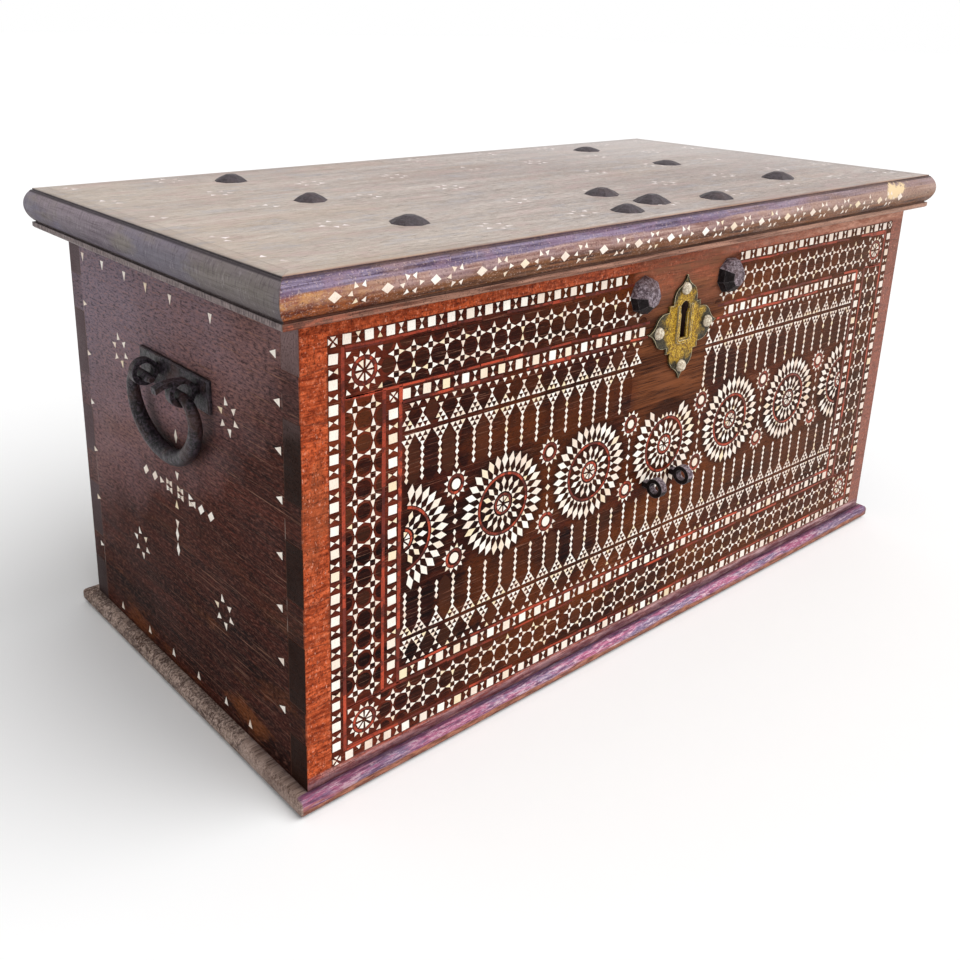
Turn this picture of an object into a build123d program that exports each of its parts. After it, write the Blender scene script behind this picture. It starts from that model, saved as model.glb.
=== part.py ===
from build123d import *
import math
import os

# Dowry chest of dovetailed hardwood boards with a moulded drop-over lid and forged iron fittings.
# Millimetres. X runs along the front from left to right, the front looks towards -Y, +Z is up.
# The origin is on the floor, under the middle of the box.

os.makedirs("parts", exist_ok=True)

# ---- driving dimensions: the box ----
body_width = 900.0  # over the two side panels
body_depth = 422.0  # over the front and back panels
wall_height = 430.0  # from the bottom boards to the rim
front_thick = 25.0  # front and back panels
side_thick = 24.0
tail_spans = ((0, 60), (98, 167), (202, 255), (291, 353), (384, 430))  # dovetails, down from the rim
tail_slope = 3.5  # how much each side of a dovetail narrows over the thickness of a side panel

bottom_thick = 17.0
bottom_side_lip = 12.5  # how far the bottom boards stand out beyond the walls
bottom_front_lip = 9.0
bottom_back_lip = 16.5
bottom_joints = (-119.0, 20.0, 113.0)  # where the bottom boards meet, in Y
bottom_round = 6.0
nail_radius = 2.2
nail_head_radius = 5.0
nail_head_thick = 2.0
nail_length = 45.0

# ---- driving dimensions: the lid ----
lid_board_thick = 22.0
lip_drop = 17.5  # how far the mouldings hang down outside the walls
rim_gap = 0.3  # play between the rim and the closed lid
moulding_thick = 15.7
lid_side_overhang = 24.0  # outer face of the lower fillet beyond the walls
lid_front_overhang = 16.7
lid_back_overhang = 30.0
lid_board_joint = 10.0  # where the two lid boards meet, in Y

# ---- driving dimensions: the hinges ----
strap_xs = (-277.0, 271.5)
strap_width = 30.0
strap_thick = 3.0
strap_front_y = -158.0
hinge_offset = 5.5  # hinge axis behind the back panel
knuckle_radius = 5.0
knuckle_length = 10.0
knuckle_gap = 0.4
hinge_pin_radius = 2.5
pin_play = 0.05  # running fit of the lid's knuckle on the pin
leaf_length = 150.0
leaf_stud_drops = (60.0, 96.0, 132.0)  # below the hinge axis

# ---- driving dimensions: lid studs; each was forged by hand, so each has its own size ----
strap_studs = (  # x, y, radius and height of each head
    ((-280.0, 178.0, 18.0, 7.0), (-279.0, 27.0, 17.0, 7.0), (-271.5, -117.0, 19.0, 6.5)),
    ((280.0, 171.0, 19.5, 4.6), (263.0, 18.0, 19.0, 4.2), (276.0, -136.0, 20.0, 7.0)),
)
catch_studs = ((-58.0, -179.0, 17.0, 6.0), (85.0, -179.0, 18.5, 6.0), (4.0, -165.0, 19.5, 7.5),
               (-2.5, -104.0, 19.0, 6.5))
front_stud_shift = 6.0  # the heads of the front studs stand this far in front of their shanks
shank_radius = 3.0
stud_hole_radius = 3.05
rivet_radius = 5.5
rivet_thick = 2.0

# ---- driving dimensions: the lock ----
lock_x = 10.5
lock_z = 348.0  # middle of the escutcheon
keyhole_top_z = 368.0  # centre of the keyhole's round top
keyhole_low_z = 336.5
keyhole_radius = 7.8
keyhole_slot = 10.8
plate_reach = 55.0  # escutcheon, from its middle to the tip of each lobe
plate_square = 50.0
plate_thick = 2.5
plate_nail_offsets = ((-2.5, 41.0), (38.5, 0.5), (0.5, -41.0), (-40.5, 0.0))
lock_stud_places = ((-56.0, 391.0), (83.0, 392.0))
lock_stud_radius = 19.5
lock_stud_height = 14.0
case_width = 84.0
case_depth = 22.0
case_low_z = 322.0
case_top_z = 440.0
case_wall = 3.0
bolt_z = 428.0
bolt_y = -175.0
bolt_size = 6.0
bolt_travel = 14.0

# ---- driving dimensions: padlock eyes and handles ----
hasp_eye_places = ((-27.0, 184.5), (17.0, 187.5))
hasp_eye_reach = 15.5  # centre of the ring in front of the panel
hasp_eye_outer = 10.2
hasp_eye_inner = 5.4
hasp_leg_size = 6.4
eye_width = 8.0
leg_size = 8.0
clench_length = 28.0
clench_thick = 3.0

handle_y = -18.0  # middle between the two eyes
handle_z = 331.0
handle_reach = 18.0  # pivot axis beside the side panel
handle_lean = 7.5  # degrees, towards the side
handle_plate_y = -11.0
handle_plate_z = 331.8
handle_plate_width = 129.0
handle_plate_height = 30.5
handle_plate_thick = 3.5
handle_eye_spread = 35.5  # each eye from the middle between them
handle_eye_reach = 17.0
handle_eye_z = 334.2
handle_eye_outer = 12.6
handle_eye_inner = 8.2
tail_radius = 4.5  # end of the handle bar inside its eye
tail_length = 27.0
tail_taper = 10.0
tail_tip_radius = 3.0
bar_radius = 7.8  # thickest, at the bottom of the handle
bail_y = -14.0  # the bent bar hangs a little nearer the back than its eyes
bail_run = (  # centre line of the bar from the back eye round to the front one, as u along Y and w up
    (40.0, 0.0), (54.0, -8.0), (60.5, -28.0), (56.5, -48.0), (42.0, -63.5), (22.0, -71.0), (3.0, -72.3),
    (-18.0, -67.0), (-38.0, -53.5), (-52.5, -36.5), (-59.0, -18.5), (-55.0, -6.0), (-43.5, 0.0))

# ---- worked out from the above ----
half_width = body_width / 2
half_depth = body_depth / 2
shoulder_x = half_width - side_thick
inner_front = half_depth - front_thick
rim_z = bottom_thick + wall_height
wall_mid_z = bottom_thick + wall_height / 2
lip_z = rim_z - lip_drop
lid_under_z = rim_z + rim_gap
lid_top_z = lid_under_z + lid_board_thick
lid_height = lid_top_z - lip_z
lid_left = half_width + lid_side_overhang
lid_front = -half_depth - lid_front_overhang
lid_back = half_depth + lid_back_overhang
board_left = lid_left - moulding_thick
board_front = lid_front + moulding_thick
board_back = lid_back - moulding_thick
hinge_y = half_depth + hinge_offset
hinge_z = lip_z
strap_low_z = lid_under_z - strap_thick
case_back_y = -inner_front + case_depth


def tail_outlines(side):
    """The dovetails at one end of a front or back panel, drawn in the plane of the panel."""
    for top, bottom in tail_spans:
        z_top = rim_z - top
        z_low = rim_z - bottom
        narrow_top = z_top - (tail_slope if top > 0 else 0)
        narrow_low = z_low + (tail_slope if bottom < wall_height else 0)
        corners = [(shoulder_x, narrow_low), (half_width, z_low), (half_width, z_top), (shoulder_x, narrow_top)]
        if side < 0:
            corners = [(-x, z) for x, z in reversed(corners)]
        Polygon(*corners, align=None)


def keyhole(play):
    """A round top over a straight slot, wider all round by play."""
    with Locations((lock_x, keyhole_top_z)):
        Circle(keyhole_radius + play)
    with Locations((lock_x, (keyhole_top_z + keyhole_low_z - play) / 2)):
        Rectangle(keyhole_slot + 2 * play, keyhole_top_z - keyhole_low_z + play)


def faceted_stud(radius, height, grip, shoulder=0.8, crown=0.32, turn=0.0, shift=0.0):
    """A hand-forged stud: eight-sided head above z = 0, shank through the grip, riveted end.

    Shoulder and crown are the widths of the head halfway up and on top, turn is the twist of its
    facets, and shift is how far it stands towards -Y from its shank.
    """
    with BuildPart() as made:
        for level, share in ((0.0, 1.0), (0.5, shoulder), (1.0, crown)):
            with BuildSketch(Plane.XY.offset(height * level)):
                with Locations((0, -shift)):
                    RegularPolygon(radius * share, 8, rotation=turn)
        loft(ruled=True)
        with BuildSketch(Plane.XY.offset(-grip)):
            Circle(shank_radius)
        extrude(amount=grip)
        with BuildSketch(Plane.XY.offset(-grip - rivet_thick)):
            RegularPolygon(rivet_radius, 8)
        extrude(amount=rivet_thick)
    return made.part


def finish(part, name):
    """Name a finished piece and write it as its own file."""
    part.label = name
    export_step(part, f"parts/{name}.step")


# ---- bottom nails: where they stand ----
side_nail_x = half_width - side_thick / 2
front_nail_y = half_depth - front_thick / 2
nail_places = [(side * side_nail_x, y) for side in (-1, 1) for y in (-165.0, -80.0, -20.0, 50.0, 90.0, 150.0)]
nail_places += [(x, side * front_nail_y) for side in (-1, 1) for x in (-380.0, -190.0, 0.0, 190.0, 380.0)]

# ---- front panel: tails at both ends, keyhole, holes for studs, lock nails and padlock eyes ----
plate_nails = [(lock_x + dx, lock_z + dz) for dx, dz in plate_nail_offsets]
plate_nail_radius = 1.3
plate_nail_length = 15.0

with BuildPart() as front_panel:
    with BuildSketch(Plane.XZ.offset(inner_front)):
        with Locations((0, wall_mid_z)):
            Rectangle(2 * shoulder_x, wall_height)
        tail_outlines(-1)
        tail_outlines(1)
    extrude(amount=front_thick)
    with BuildSketch(Plane.XZ.offset(inner_front)):
        keyhole(1.0)
        with Locations(*lock_stud_places):
            Circle(stud_hole_radius)
        with Locations(*hasp_eye_places):
            Rectangle(eye_width, hasp_leg_size)
    extrude(amount=front_thick, mode=Mode.SUBTRACT)
    with BuildSketch(Plane.XZ.offset(half_depth - plate_nail_length)):
        with Locations(*plate_nails):
            Circle(plate_nail_radius)
    extrude(amount=plate_nail_length, mode=Mode.SUBTRACT)
    with BuildSketch(Plane.XY.offset(bottom_thick)):
        with Locations(*nail_places):
            Circle(nail_radius)
    extrude(amount=nail_length - bottom_thick, mode=Mode.SUBTRACT)
finish(front_panel.part, "front_panel")

# ---- back panel: tails at both ends, the rim notched for the hinge straps ----
leaf_stud_places = [(x, hinge_z - drop) for x in strap_xs for drop in leaf_stud_drops]
notch_depth = strap_thick + 0.6

with BuildPart() as back_panel:
    with BuildSketch(Plane.XZ.offset(-half_depth)):
        with Locations((0, wall_mid_z)):
            Rectangle(2 * shoulder_x, wall_height)
        tail_outlines(-1)
        tail_outlines(1)
        with Locations(*[(x, rim_z - notch_depth / 2) for x in strap_xs]):
            Rectangle(strap_width + 2, notch_depth, mode=Mode.SUBTRACT)
        with Locations(*leaf_stud_places):
            Circle(stud_hole_radius, mode=Mode.SUBTRACT)
    extrude(amount=front_thick)
    with BuildSketch(Plane.XY.offset(bottom_thick)):
        with Locations(*nail_places):
            Circle(nail_radius)
    extrude(amount=nail_length - bottom_thick, mode=Mode.SUBTRACT)
finish(back_panel.part, "back_panel")

# ---- side panels: the pins left between the tails, square holes for the handle eyes ----
for side, name in ((-1, "left_side_panel"), (1, "right_side_panel")):
    with BuildPart() as side_panel:
        with BuildSketch(Plane.YZ.offset(side * half_width - (side_thick if side > 0 else 0))):
            with Locations((0, wall_mid_z)):
                Rectangle(body_depth, wall_height)
            with Locations(*[(handle_y + out * handle_eye_spread, handle_eye_z) for out in (-1, 1)]):
                Rectangle(eye_width, leg_size, mode=Mode.SUBTRACT)
        extrude(amount=side_thick)
        for start in (inner_front, -half_depth):
            with BuildSketch(Plane.XZ.offset(start)):
                tail_outlines(side)
            extrude(amount=front_thick, mode=Mode.SUBTRACT)
        with BuildSketch(Plane.XY.offset(bottom_thick)):
            with Locations(*nail_places):
                Circle(nail_radius)
        extrude(amount=nail_length - bottom_thick, mode=Mode.SUBTRACT)
    finish(side_panel.part, name)

# ---- four bottom boards, lengthwise, their outer edges rounded over ----
board_edges = (-half_depth - bottom_front_lip, *bottom_joints, half_depth + bottom_back_lip)
board_half_length = half_width + bottom_side_lip
for number in range(len(board_edges) - 1):
    low_y, high_y = board_edges[number:number + 2]
    with BuildPart() as bottom_board:
        with BuildSketch():
            with Locations((0, (low_y + high_y) / 2)):
                Rectangle(2 * board_half_length, high_y - low_y)
        extrude(amount=bottom_thick)
        outer = bottom_board.edges().filter_by(Axis.Y)
        if number == 0:
            outer += bottom_board.edges().filter_by(Axis.X).group_by(Axis.Y)[0]
        if number == len(board_edges) - 2:
            outer += bottom_board.edges().filter_by(Axis.X).group_by(Axis.Y)[-1]
        fillet(outer, radius=bottom_round)
        with BuildSketch():
            with Locations(*nail_places):
                Circle(nail_radius)
        extrude(amount=bottom_thick, mode=Mode.SUBTRACT)
        with BuildSketch():
            with Locations(*nail_places):
                Circle(nail_head_radius)
        extrude(amount=nail_head_thick, mode=Mode.SUBTRACT)
    finish(bottom_board.part, f"bottom_board_{number + 1}")

# ---- nails up through the bottom boards into the walls, heads flush below ----
with BuildPart() as bottom_nails:
    with BuildSketch():
        with Locations(*nail_places):
            Circle(nail_head_radius)
    extrude(amount=nail_head_thick)
    with BuildSketch():
        with Locations(*nail_places):
            Circle(nail_radius)
    extrude(amount=nail_length)
finish(bottom_nails.part, "bottom_nails")

# ---- escutcheon: a square brass plate with four ogee-pointed lobes and a raised rim round the keyhole ----
lobe_half = 18.5
rim_outer_width = 24.0
rim_wall = 3.0
rim_rise = 1.6

with BuildSketch() as lobe:
    with BuildLine():
        base = Polyline((0, 0), (lobe_half, 0), (lobe_half, 29.0))
        cheek = ThreePointArc(base @ 1, (16.6, 37.2), (9.5, 43.5))
        tip = ThreePointArc(cheek @ 1, (3.8, 48.2), (0, plate_reach))
        Line(tip @ 1, (0, 0))
    make_face()
    mirror(about=Plane.YZ)

with BuildPart() as escutcheon:
    with BuildSketch(Plane.XZ.offset(half_depth)):
        with Locations((lock_x, lock_z)):
            Rectangle(plate_square, plate_square)
            for quarter in range(4):
                add(lobe.sketch, rotation=90 * quarter)
    extrude(amount=plate_thick)
    rim_low_z = keyhole_low_z - 5.0
    rim_high_z = keyhole_top_z + keyhole_radius + 3.5
    with BuildSketch(Plane.XZ.offset(half_depth + plate_thick)):
        with Locations((lock_x, (rim_low_z + rim_high_z) / 2)):
            RectangleRounded(rim_outer_width, rim_high_z - rim_low_z, 6)
            RectangleRounded(rim_outer_width - 2 * rim_wall, rim_high_z - rim_low_z - 2 * rim_wall, 3,
                             mode=Mode.SUBTRACT)
        with Locations((lock_x, rim_high_z)):
            Rectangle(rim_outer_width, 16, mode=Mode.SUBTRACT)
    extrude(amount=rim_rise)
    with BuildSketch(Plane.XZ.offset(half_depth)):
        keyhole(0)
        with Locations(*plate_nails):
            Circle(plate_nail_radius)
    extrude(amount=plate_thick + rim_rise, mode=Mode.SUBTRACT)
finish(escutcheon.part, "escutcheon")

# ---- four domed nails that hold the escutcheon ----
dome_radius = 6.4
dome_height = 4.6
with BuildPart() as plate_nail:
    with BuildSketch(Plane.XY.offset(plate_thick)):
        Circle(dome_radius)
    extrude(amount=dome_height)
    fillet(plate_nail.edges().group_by(Axis.Z)[-1], radius=dome_height - 0.3)
    with BuildSketch(Plane.XY.offset(-plate_nail_length)):
        Circle(plate_nail_radius)
    extrude(amount=plate_nail_length + plate_thick)
nail_copies = [Pos(x, -half_depth, z) * Rot(90, 0, 0) * plate_nail.part for x, z in plate_nails]
with BuildPart() as escutcheon_nails:
    add(nail_copies)
finish(escutcheon_nails.part, "escutcheon_nails")

# ---- lock case on the inside of the front panel: box, ears under the studs, key pin ----
staple_x = lock_x
staple_thick = 5.0
staple_width = 12.0
slot_play = 3.0
bolt_play = 0.4
bolt_rest_tip = lock_x - staple_thick / 2 - slot_play - 1.0
bolt_length = 30.0
ear_height = 40.0
pocket_top_z = 412.0
key_pin_radius = 2.0

with BuildPart() as lock_case:
    with BuildSketch(Plane.XZ.offset(inner_front - case_depth)):
        with Locations((lock_x, (case_low_z + case_top_z) / 2)):
            Rectangle(case_width, case_top_z - case_low_z)
    extrude(amount=case_depth)
    with BuildSketch(Plane.XZ.offset(inner_front - case_wall)):
        ear_left, ear_right = (x for x, z in lock_stud_places)
        with Locations(((ear_left + ear_right) / 2, lock_stud_places[0][1])):
            SlotOverall(ear_right - ear_left + ear_height, ear_height)
    extrude(amount=case_wall)
    with BuildSketch(Plane.XZ.offset(inner_front - case_depth + case_wall)):
        with Locations((lock_x, (case_low_z + case_wall + pocket_top_z) / 2)):
            Rectangle(case_width - 4 * case_wall, pocket_top_z - case_low_z - case_wall)
    extrude(amount=case_depth - 2 * case_wall, mode=Mode.SUBTRACT)
    with BuildSketch(Plane.XZ.offset(inner_front - case_wall)):
        keyhole(0.5)
        with Locations(*lock_stud_places):
            Circle(stud_hole_radius)
    extrude(amount=case_wall, mode=Mode.SUBTRACT)
    with BuildSketch(Plane.XY.offset(case_top_z)):
        with Locations((staple_x, bolt_y)):
            Rectangle(staple_thick + 2 * slot_play, staple_width + slot_play)
    extrude(amount=-(case_top_z - pocket_top_z), mode=Mode.SUBTRACT)
    with BuildSketch(Plane.YZ.offset(bolt_rest_tip - bolt_length - 1)):
        with Locations((bolt_y, bolt_z)):
            Rectangle(bolt_size + 2 * bolt_play, bolt_size + 2 * bolt_play)
    extrude(amount=bolt_length + 2 + bolt_travel + 1, mode=Mode.SUBTRACT)
    with BuildSketch(Plane.XY.offset(pocket_top_z - 1)):
        with Locations((bolt_rest_tip - bolt_length / 2 + bolt_travel / 2, bolt_y)):
            Rectangle(bolt_size + bolt_travel + 2, bolt_size + 2 * bolt_play)
    extrude(amount=bolt_z - pocket_top_z, mode=Mode.SUBTRACT)
    with BuildSketch(Plane.XZ.offset(inner_front - case_depth)):
        with Locations((lock_x, keyhole_top_z)):
            Circle(key_pin_radius)
    extrude(amount=case_depth + front_thick * 0.6)
finish(lock_case.part, "lock_case")

# ---- lock bolt: slides along X through the eye of the lid's staple, a talon hangs down for the key ----
with BuildPart() as lock_bolt:
    with BuildSketch(Plane.YZ.offset(bolt_rest_tip - bolt_length)):
        with Locations((bolt_y, bolt_z)):
            Rectangle(bolt_size, bolt_size)
    extrude(amount=bolt_length)
    with BuildSketch(Plane.XY.offset(bolt_z)):
        with Locations((bolt_rest_tip - bolt_length / 2, bolt_y)):
            Rectangle(bolt_size, bolt_size)
    extrude(amount=-(bolt_z - pocket_top_z + 14))
    chamfer(lock_bolt.faces().sort_by(Axis.X)[-1].edges(), length=0.8)
finish(lock_bolt.part, "lock_bolt")

# ---- two big faceted studs that rivet the lock case to the front panel ----
stud_copies = [Pos(x, -half_depth, z) * Rot(90, 0, 0) * faceted_stud(
    lock_stud_radius, lock_stud_height, front_thick + case_wall, shoulder=0.9, crown=0.5, turn=17 * i)
    for i, (x, z) in enumerate(lock_stud_places)]
with BuildPart() as lock_studs:
    add(stud_copies)
finish(lock_studs.part, "lock_studs")

# ---- two padlock eyes: flat bar bent into a ring, legs through the panel and clenched inside ----
with BuildPart() as padlock_eyes:
    for x, z in hasp_eye_places:
        with BuildSketch(Plane.YZ.offset(x - eye_width / 2)):
            with Locations((-half_depth - hasp_eye_reach / 2 + (-inner_front + half_depth) / 2, z)):
                Rectangle(front_thick + hasp_eye_reach, hasp_leg_size)
            with Locations((-inner_front + clench_thick / 2, z)):
                Rectangle(clench_thick, clench_length)
            with Locations((-half_depth - hasp_eye_reach, z)):
                Circle(hasp_eye_outer)
                Circle(hasp_eye_inner, mode=Mode.SUBTRACT)
        extrude(amount=eye_width)
finish(padlock_eyes.part, "padlock_eyes")

# ---- handles, made on the left side and mirrored to the right ----
side_face = -half_width
pivot_x = side_face - handle_reach
lean = math.radians(handle_lean)
eye_ys = [handle_y + out * handle_eye_spread for out in (-1, 1)]
eye_x = side_face - handle_eye_reach

with BuildPart() as handle_plate:
    with BuildSketch(Plane.YZ.offset(side_face - handle_plate_thick)):
        with Locations((handle_plate_y, handle_plate_z)):
            Rectangle(handle_plate_width, handle_plate_height)
        with Locations(*[(y, handle_eye_z) for y in eye_ys]):
            Rectangle(eye_width, leg_size, mode=Mode.SUBTRACT)
    extrude(amount=handle_plate_thick)
    chamfer(handle_plate.faces().sort_by(Axis.X)[0].outer_wire().edges(), length=1.2)

# The front eye keeps the drawn-out end of its bar, sticking out above the ring; the other's is broken off.
spur = [(0, handle_eye_outer), (-8.0, 13.1), (-16.5, 12.4), (-25.3, 9.2), (-24.6, 3.4), (-16.0, 7.2),
        (-9.0, 7.6), (0, 8.4)]
with BuildPart() as handle_eyes:
    for y in eye_ys:
        with BuildSketch(Plane.XZ.offset(-y - eye_width / 2)):
            with Locations(((eye_x + side_face + side_thick) / 2, handle_eye_z)):
                Rectangle(side_thick + handle_eye_reach, leg_size)
            with Locations((side_face + side_thick + clench_thick / 2, handle_eye_z)):
                Rectangle(clench_thick, clench_length)
            with Locations((eye_x, handle_eye_z)):
                Circle(handle_eye_outer)
                if y < handle_y:
                    Polygon(*spur, align=None)
                Circle(handle_eye_inner, mode=Mode.SUBTRACT)
        extrude(amount=eye_width)

# The bar hangs in a plane through its pivot axis: u runs along Y, w runs up. It was bent by eye,
# so its two halves differ; both grow thicker towards the middle of the bar. Its ends turn in through the eyes.
bail_plane = Plane(origin=(pivot_x, bail_y, handle_z), x_dir=(0, 1, 0),
                   z_dir=(math.cos(lean), 0, math.sin(lean)))

with BuildPart() as handle:
    with BuildLine() as bar_path:
        Spline(*[bail_plane.from_local_coords((u, w, 0)) for u, w in bail_run],
               tangents=((0, 1, 0), (0, 1, 0)), tangent_scalars=(1.0, 1.0))
    for end, radius in ((0, tail_radius), (0.5, bar_radius), (1, tail_radius)):
        with BuildSketch(Plane(origin=bar_path.line @ end, z_dir=bar_path.line % end)):
            Circle(radius)
    sweep(path=bar_path.line, multisection=True)
    for side, end_u in ((1, bail_run[0][0]), (-1, bail_run[-1][0])):
        tail_y = bail_y + end_u
        for inner, outer, tip_radius in ((0, tail_length - tail_taper, tail_radius),
                                         (tail_length - tail_taper, tail_length, tail_tip_radius)):
            for distance, radius in ((inner, tail_radius), (outer, tip_radius)):
                with BuildSketch(Plane.XZ.offset(-tail_y + side * distance)):
                    with Locations((pivot_x, handle_z)):
                        Circle(radius)
            loft()

for piece, name in ((handle_plate, "handle_plate"), (handle_eyes, "handle_eyes"), (handle, "handle")):
    finish(piece.part, f"left_{name}")
    finish(piece.part.mirror(Plane.YZ), f"right_{name}")

# ---- lid boards ----
for name, low_y, high_y in (("lid_board_front", board_front, lid_board_joint),
                            ("lid_board_back", lid_board_joint, board_back)):
    lid_stud_places = [(x, y) for x, y, radius, height in (*strap_studs[0], *strap_studs[1], *catch_studs)]
    with BuildPart() as lid_board:
        with BuildSketch(Plane.XY.offset(lid_under_z)):
            with Locations((0, (low_y + high_y) / 2)):
                Rectangle(2 * board_left, high_y - low_y)
            with Locations(*lid_stud_places):
                Circle(stud_hole_radius, mode=Mode.SUBTRACT)
        extrude(amount=lid_board_thick)
    finish(lid_board.part, name)

# ---- lid mouldings: shallow ovolo over a fillet, mitred at the four corners ----
# Drawn with x pointing outwards from the fillet's face and y up from the lip.
fillet_top = 5.8
nose_out = 5.4
with BuildSketch() as moulding:
    with BuildLine():
        foot = Polyline((-moulding_thick, 0), (-1.5, 0), (0, 1.5), (0, fillet_top), (-2.6, fillet_top),
                        (-2.6, fillet_top + 1.8), (-1.4, fillet_top + 1.8))
        ovolo = ThreePointArc(foot @ 1, (nose_out, lid_height * 0.6), (-1.2, lid_height - 1.6))
        Polyline(ovolo @ 1, (-2.4, lid_height - 1.6), (-2.4, lid_height), (-moulding_thick, lid_height),
                 foot @ 0)
    make_face()

over = 20.0  # spare length beyond each corner, cut off by the mitres
mid_y = (lid_front + lid_back) / 2
half_y = (lid_back - lid_front) / 2
moulding_runs = (
    ("lid_moulding_front", (0, lid_front), (0, -1), lid_left),
    ("lid_moulding_back", (0, lid_back), (0, 1), lid_left),
    ("lid_moulding_left", (-lid_left, mid_y), (-1, 0), half_y),
    ("lid_moulding_right", (lid_left, mid_y), (1, 0), half_y),
)
for name, (x, y), (out_x, out_y), half_run in moulding_runs:
    run = (out_y, -out_x)
    start = (x - run[0] * (half_run + over), y - run[1] * (half_run + over), lip_z)
    with BuildPart() as lid_moulding:
        with BuildSketch(Plane(origin=start, x_dir=(out_x, out_y, 0), z_dir=(*run, 0))):
            add(moulding.sketch)
        extrude(amount=2 * (half_run + over))
        for end in (-1, 1):
            corner = (x + end * run[0] * half_run, y + end * run[1] * half_run, 0)
            inward = (out_x - end * run[0], out_y - end * run[1], 0)
            split(bisect_by=Plane(origin=corner, z_dir=inward), keep=Keep.TOP)
    finish(lid_moulding.part, name)

# ---- hinge straps: under the lid boards, cranked over the rim and rolled round the pin ----
strap_back_y = half_depth + 0.6
knuckle_span = knuckle_length - knuckle_gap
for strap_x, studs, name in zip(strap_xs, strap_studs, ("lid_strap_left", "lid_strap_right")):
    with BuildPart() as lid_strap:
        with BuildSketch(Plane.XY.offset(strap_low_z)):
            with Locations((strap_x, (strap_front_y + strap_back_y + strap_thick) / 2)):
                Rectangle(strap_width, strap_back_y + strap_thick - strap_front_y)
            with Locations((strap_x, strap_front_y)):
                Circle(strap_width / 2)
            with Locations(*[(x, y) for x, y, radius, height in studs]):
                Circle(stud_hole_radius, mode=Mode.SUBTRACT)
        extrude(amount=strap_thick)
        with BuildSketch(Plane.YZ.offset(strap_x - knuckle_span / 2)):
            with Locations((strap_back_y + strap_thick / 2, (hinge_z + strap_low_z) / 2)):
                Rectangle(strap_thick, strap_low_z - hinge_z)
            with Locations((hinge_y, hinge_z)):
                Circle(knuckle_radius)
                Circle(hinge_pin_radius + pin_play, mode=Mode.SUBTRACT)
        extrude(amount=knuckle_span)
    finish(lid_strap.part, name)

# ---- hinge leaves on the back panel: outer knuckles either side of the strap's ----
for strap_x, name in zip(strap_xs, ("hinge_leaf_left", "hinge_leaf_right")):
    with BuildPart() as hinge_leaf:
        with BuildSketch(Plane.XZ.offset(-half_depth - strap_thick)):
            with Locations((strap_x, hinge_z - knuckle_radius - leaf_length / 2)):
                Rectangle(strap_width, leaf_length)
            with Locations((strap_x, hinge_z - knuckle_radius - leaf_length)):
                Circle(strap_width / 2)
            with Locations(*[(strap_x, hinge_z - drop) for drop in leaf_stud_drops]):
                Circle(stud_hole_radius, mode=Mode.SUBTRACT)
        extrude(amount=strap_thick)
        for out in (-1, 1):
            with BuildSketch(Plane.YZ.offset(strap_x + out * knuckle_length - knuckle_length / 2)):
                with Locations((half_depth + strap_thick / 2, hinge_z - knuckle_radius)):
                    Rectangle(strap_thick, 2 * knuckle_radius)
                with Locations((hinge_y, hinge_z)):
                    Circle(knuckle_radius)
                    Circle(hinge_pin_radius, mode=Mode.SUBTRACT)
            extrude(amount=knuckle_length)
    finish(hinge_leaf.part, name)

# ---- hinge pins, their ends peened over ----
peen_radius = 3.6
peen_thick = 1.5
with BuildPart() as hinge_pins:
    for strap_x in strap_xs:
        with BuildSketch(Plane.YZ.offset(strap_x - 1.5 * knuckle_length)):
            with Locations((hinge_y, hinge_z)):
                Circle(hinge_pin_radius)
        extrude(amount=3 * knuckle_length)
        for low_x in (strap_x - 1.5 * knuckle_length - peen_thick, strap_x + 1.5 * knuckle_length):
            with BuildSketch(Plane.YZ.offset(low_x)):
                with Locations((hinge_y, hinge_z)):
                    Circle(peen_radius)
            extrude(amount=peen_thick)
finish(hinge_pins.part, "hinge_pins")

# ---- studs that rivet the hinge leaves to the back panel ----
leaf_stud = faceted_stud(9.0, 4.0, front_thick + strap_thick)
leaf_copies = [Pos(x, half_depth + strap_thick, z) * Rot(-90, 0, 0) * Rot(0, 0, 11 * i) * leaf_stud
               for i, (x, z) in enumerate(leaf_stud_places)]
with BuildPart() as hinge_leaf_studs:
    add(leaf_copies)
finish(hinge_leaf_studs.part, "hinge_leaf_studs")

# ---- catch under the front of the lid: a tee of flat bar with a staple that drops into the lock ----
cross_left, cross_right = -76.0, 102.0
cross_front_y = -inner_front + 0.5
cross_back_y = -162.0
stem_back_y = -86.0
stem_width = 34.0
staple_drop = 27.0
staple_eye = 8.0
staple_low_z = strap_low_z - staple_drop

with BuildPart() as lid_catch:
    with BuildSketch(Plane.XY.offset(strap_low_z)):
        with Locations(((cross_left + cross_right) / 2, (cross_front_y + cross_back_y) / 2)):
            Rectangle(cross_right - cross_left, cross_back_y - cross_front_y)
        with Locations((1.5, (cross_front_y + stem_back_y) / 2)):
            Rectangle(stem_width, stem_back_y - cross_front_y)
        with Locations(*[(x, y) for x, y, radius, height in catch_studs]):
            Circle(stud_hole_radius, mode=Mode.SUBTRACT)
    extrude(amount=strap_thick)
    with BuildSketch(Plane.YZ.offset(staple_x - staple_thick / 2)):
        with Locations((bolt_y, strap_low_z - (staple_drop - staple_width / 2) / 2)):
            Rectangle(staple_width, staple_drop - staple_width / 2)
        with Locations((bolt_y, staple_low_z + staple_width / 2)):
            Circle(staple_width / 2)
        with Locations((bolt_y, bolt_z)):
            Rectangle(staple_eye, staple_eye, mode=Mode.SUBTRACT)
    extrude(amount=staple_thick)
finish(lid_catch.part, "lid_catch")

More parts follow.
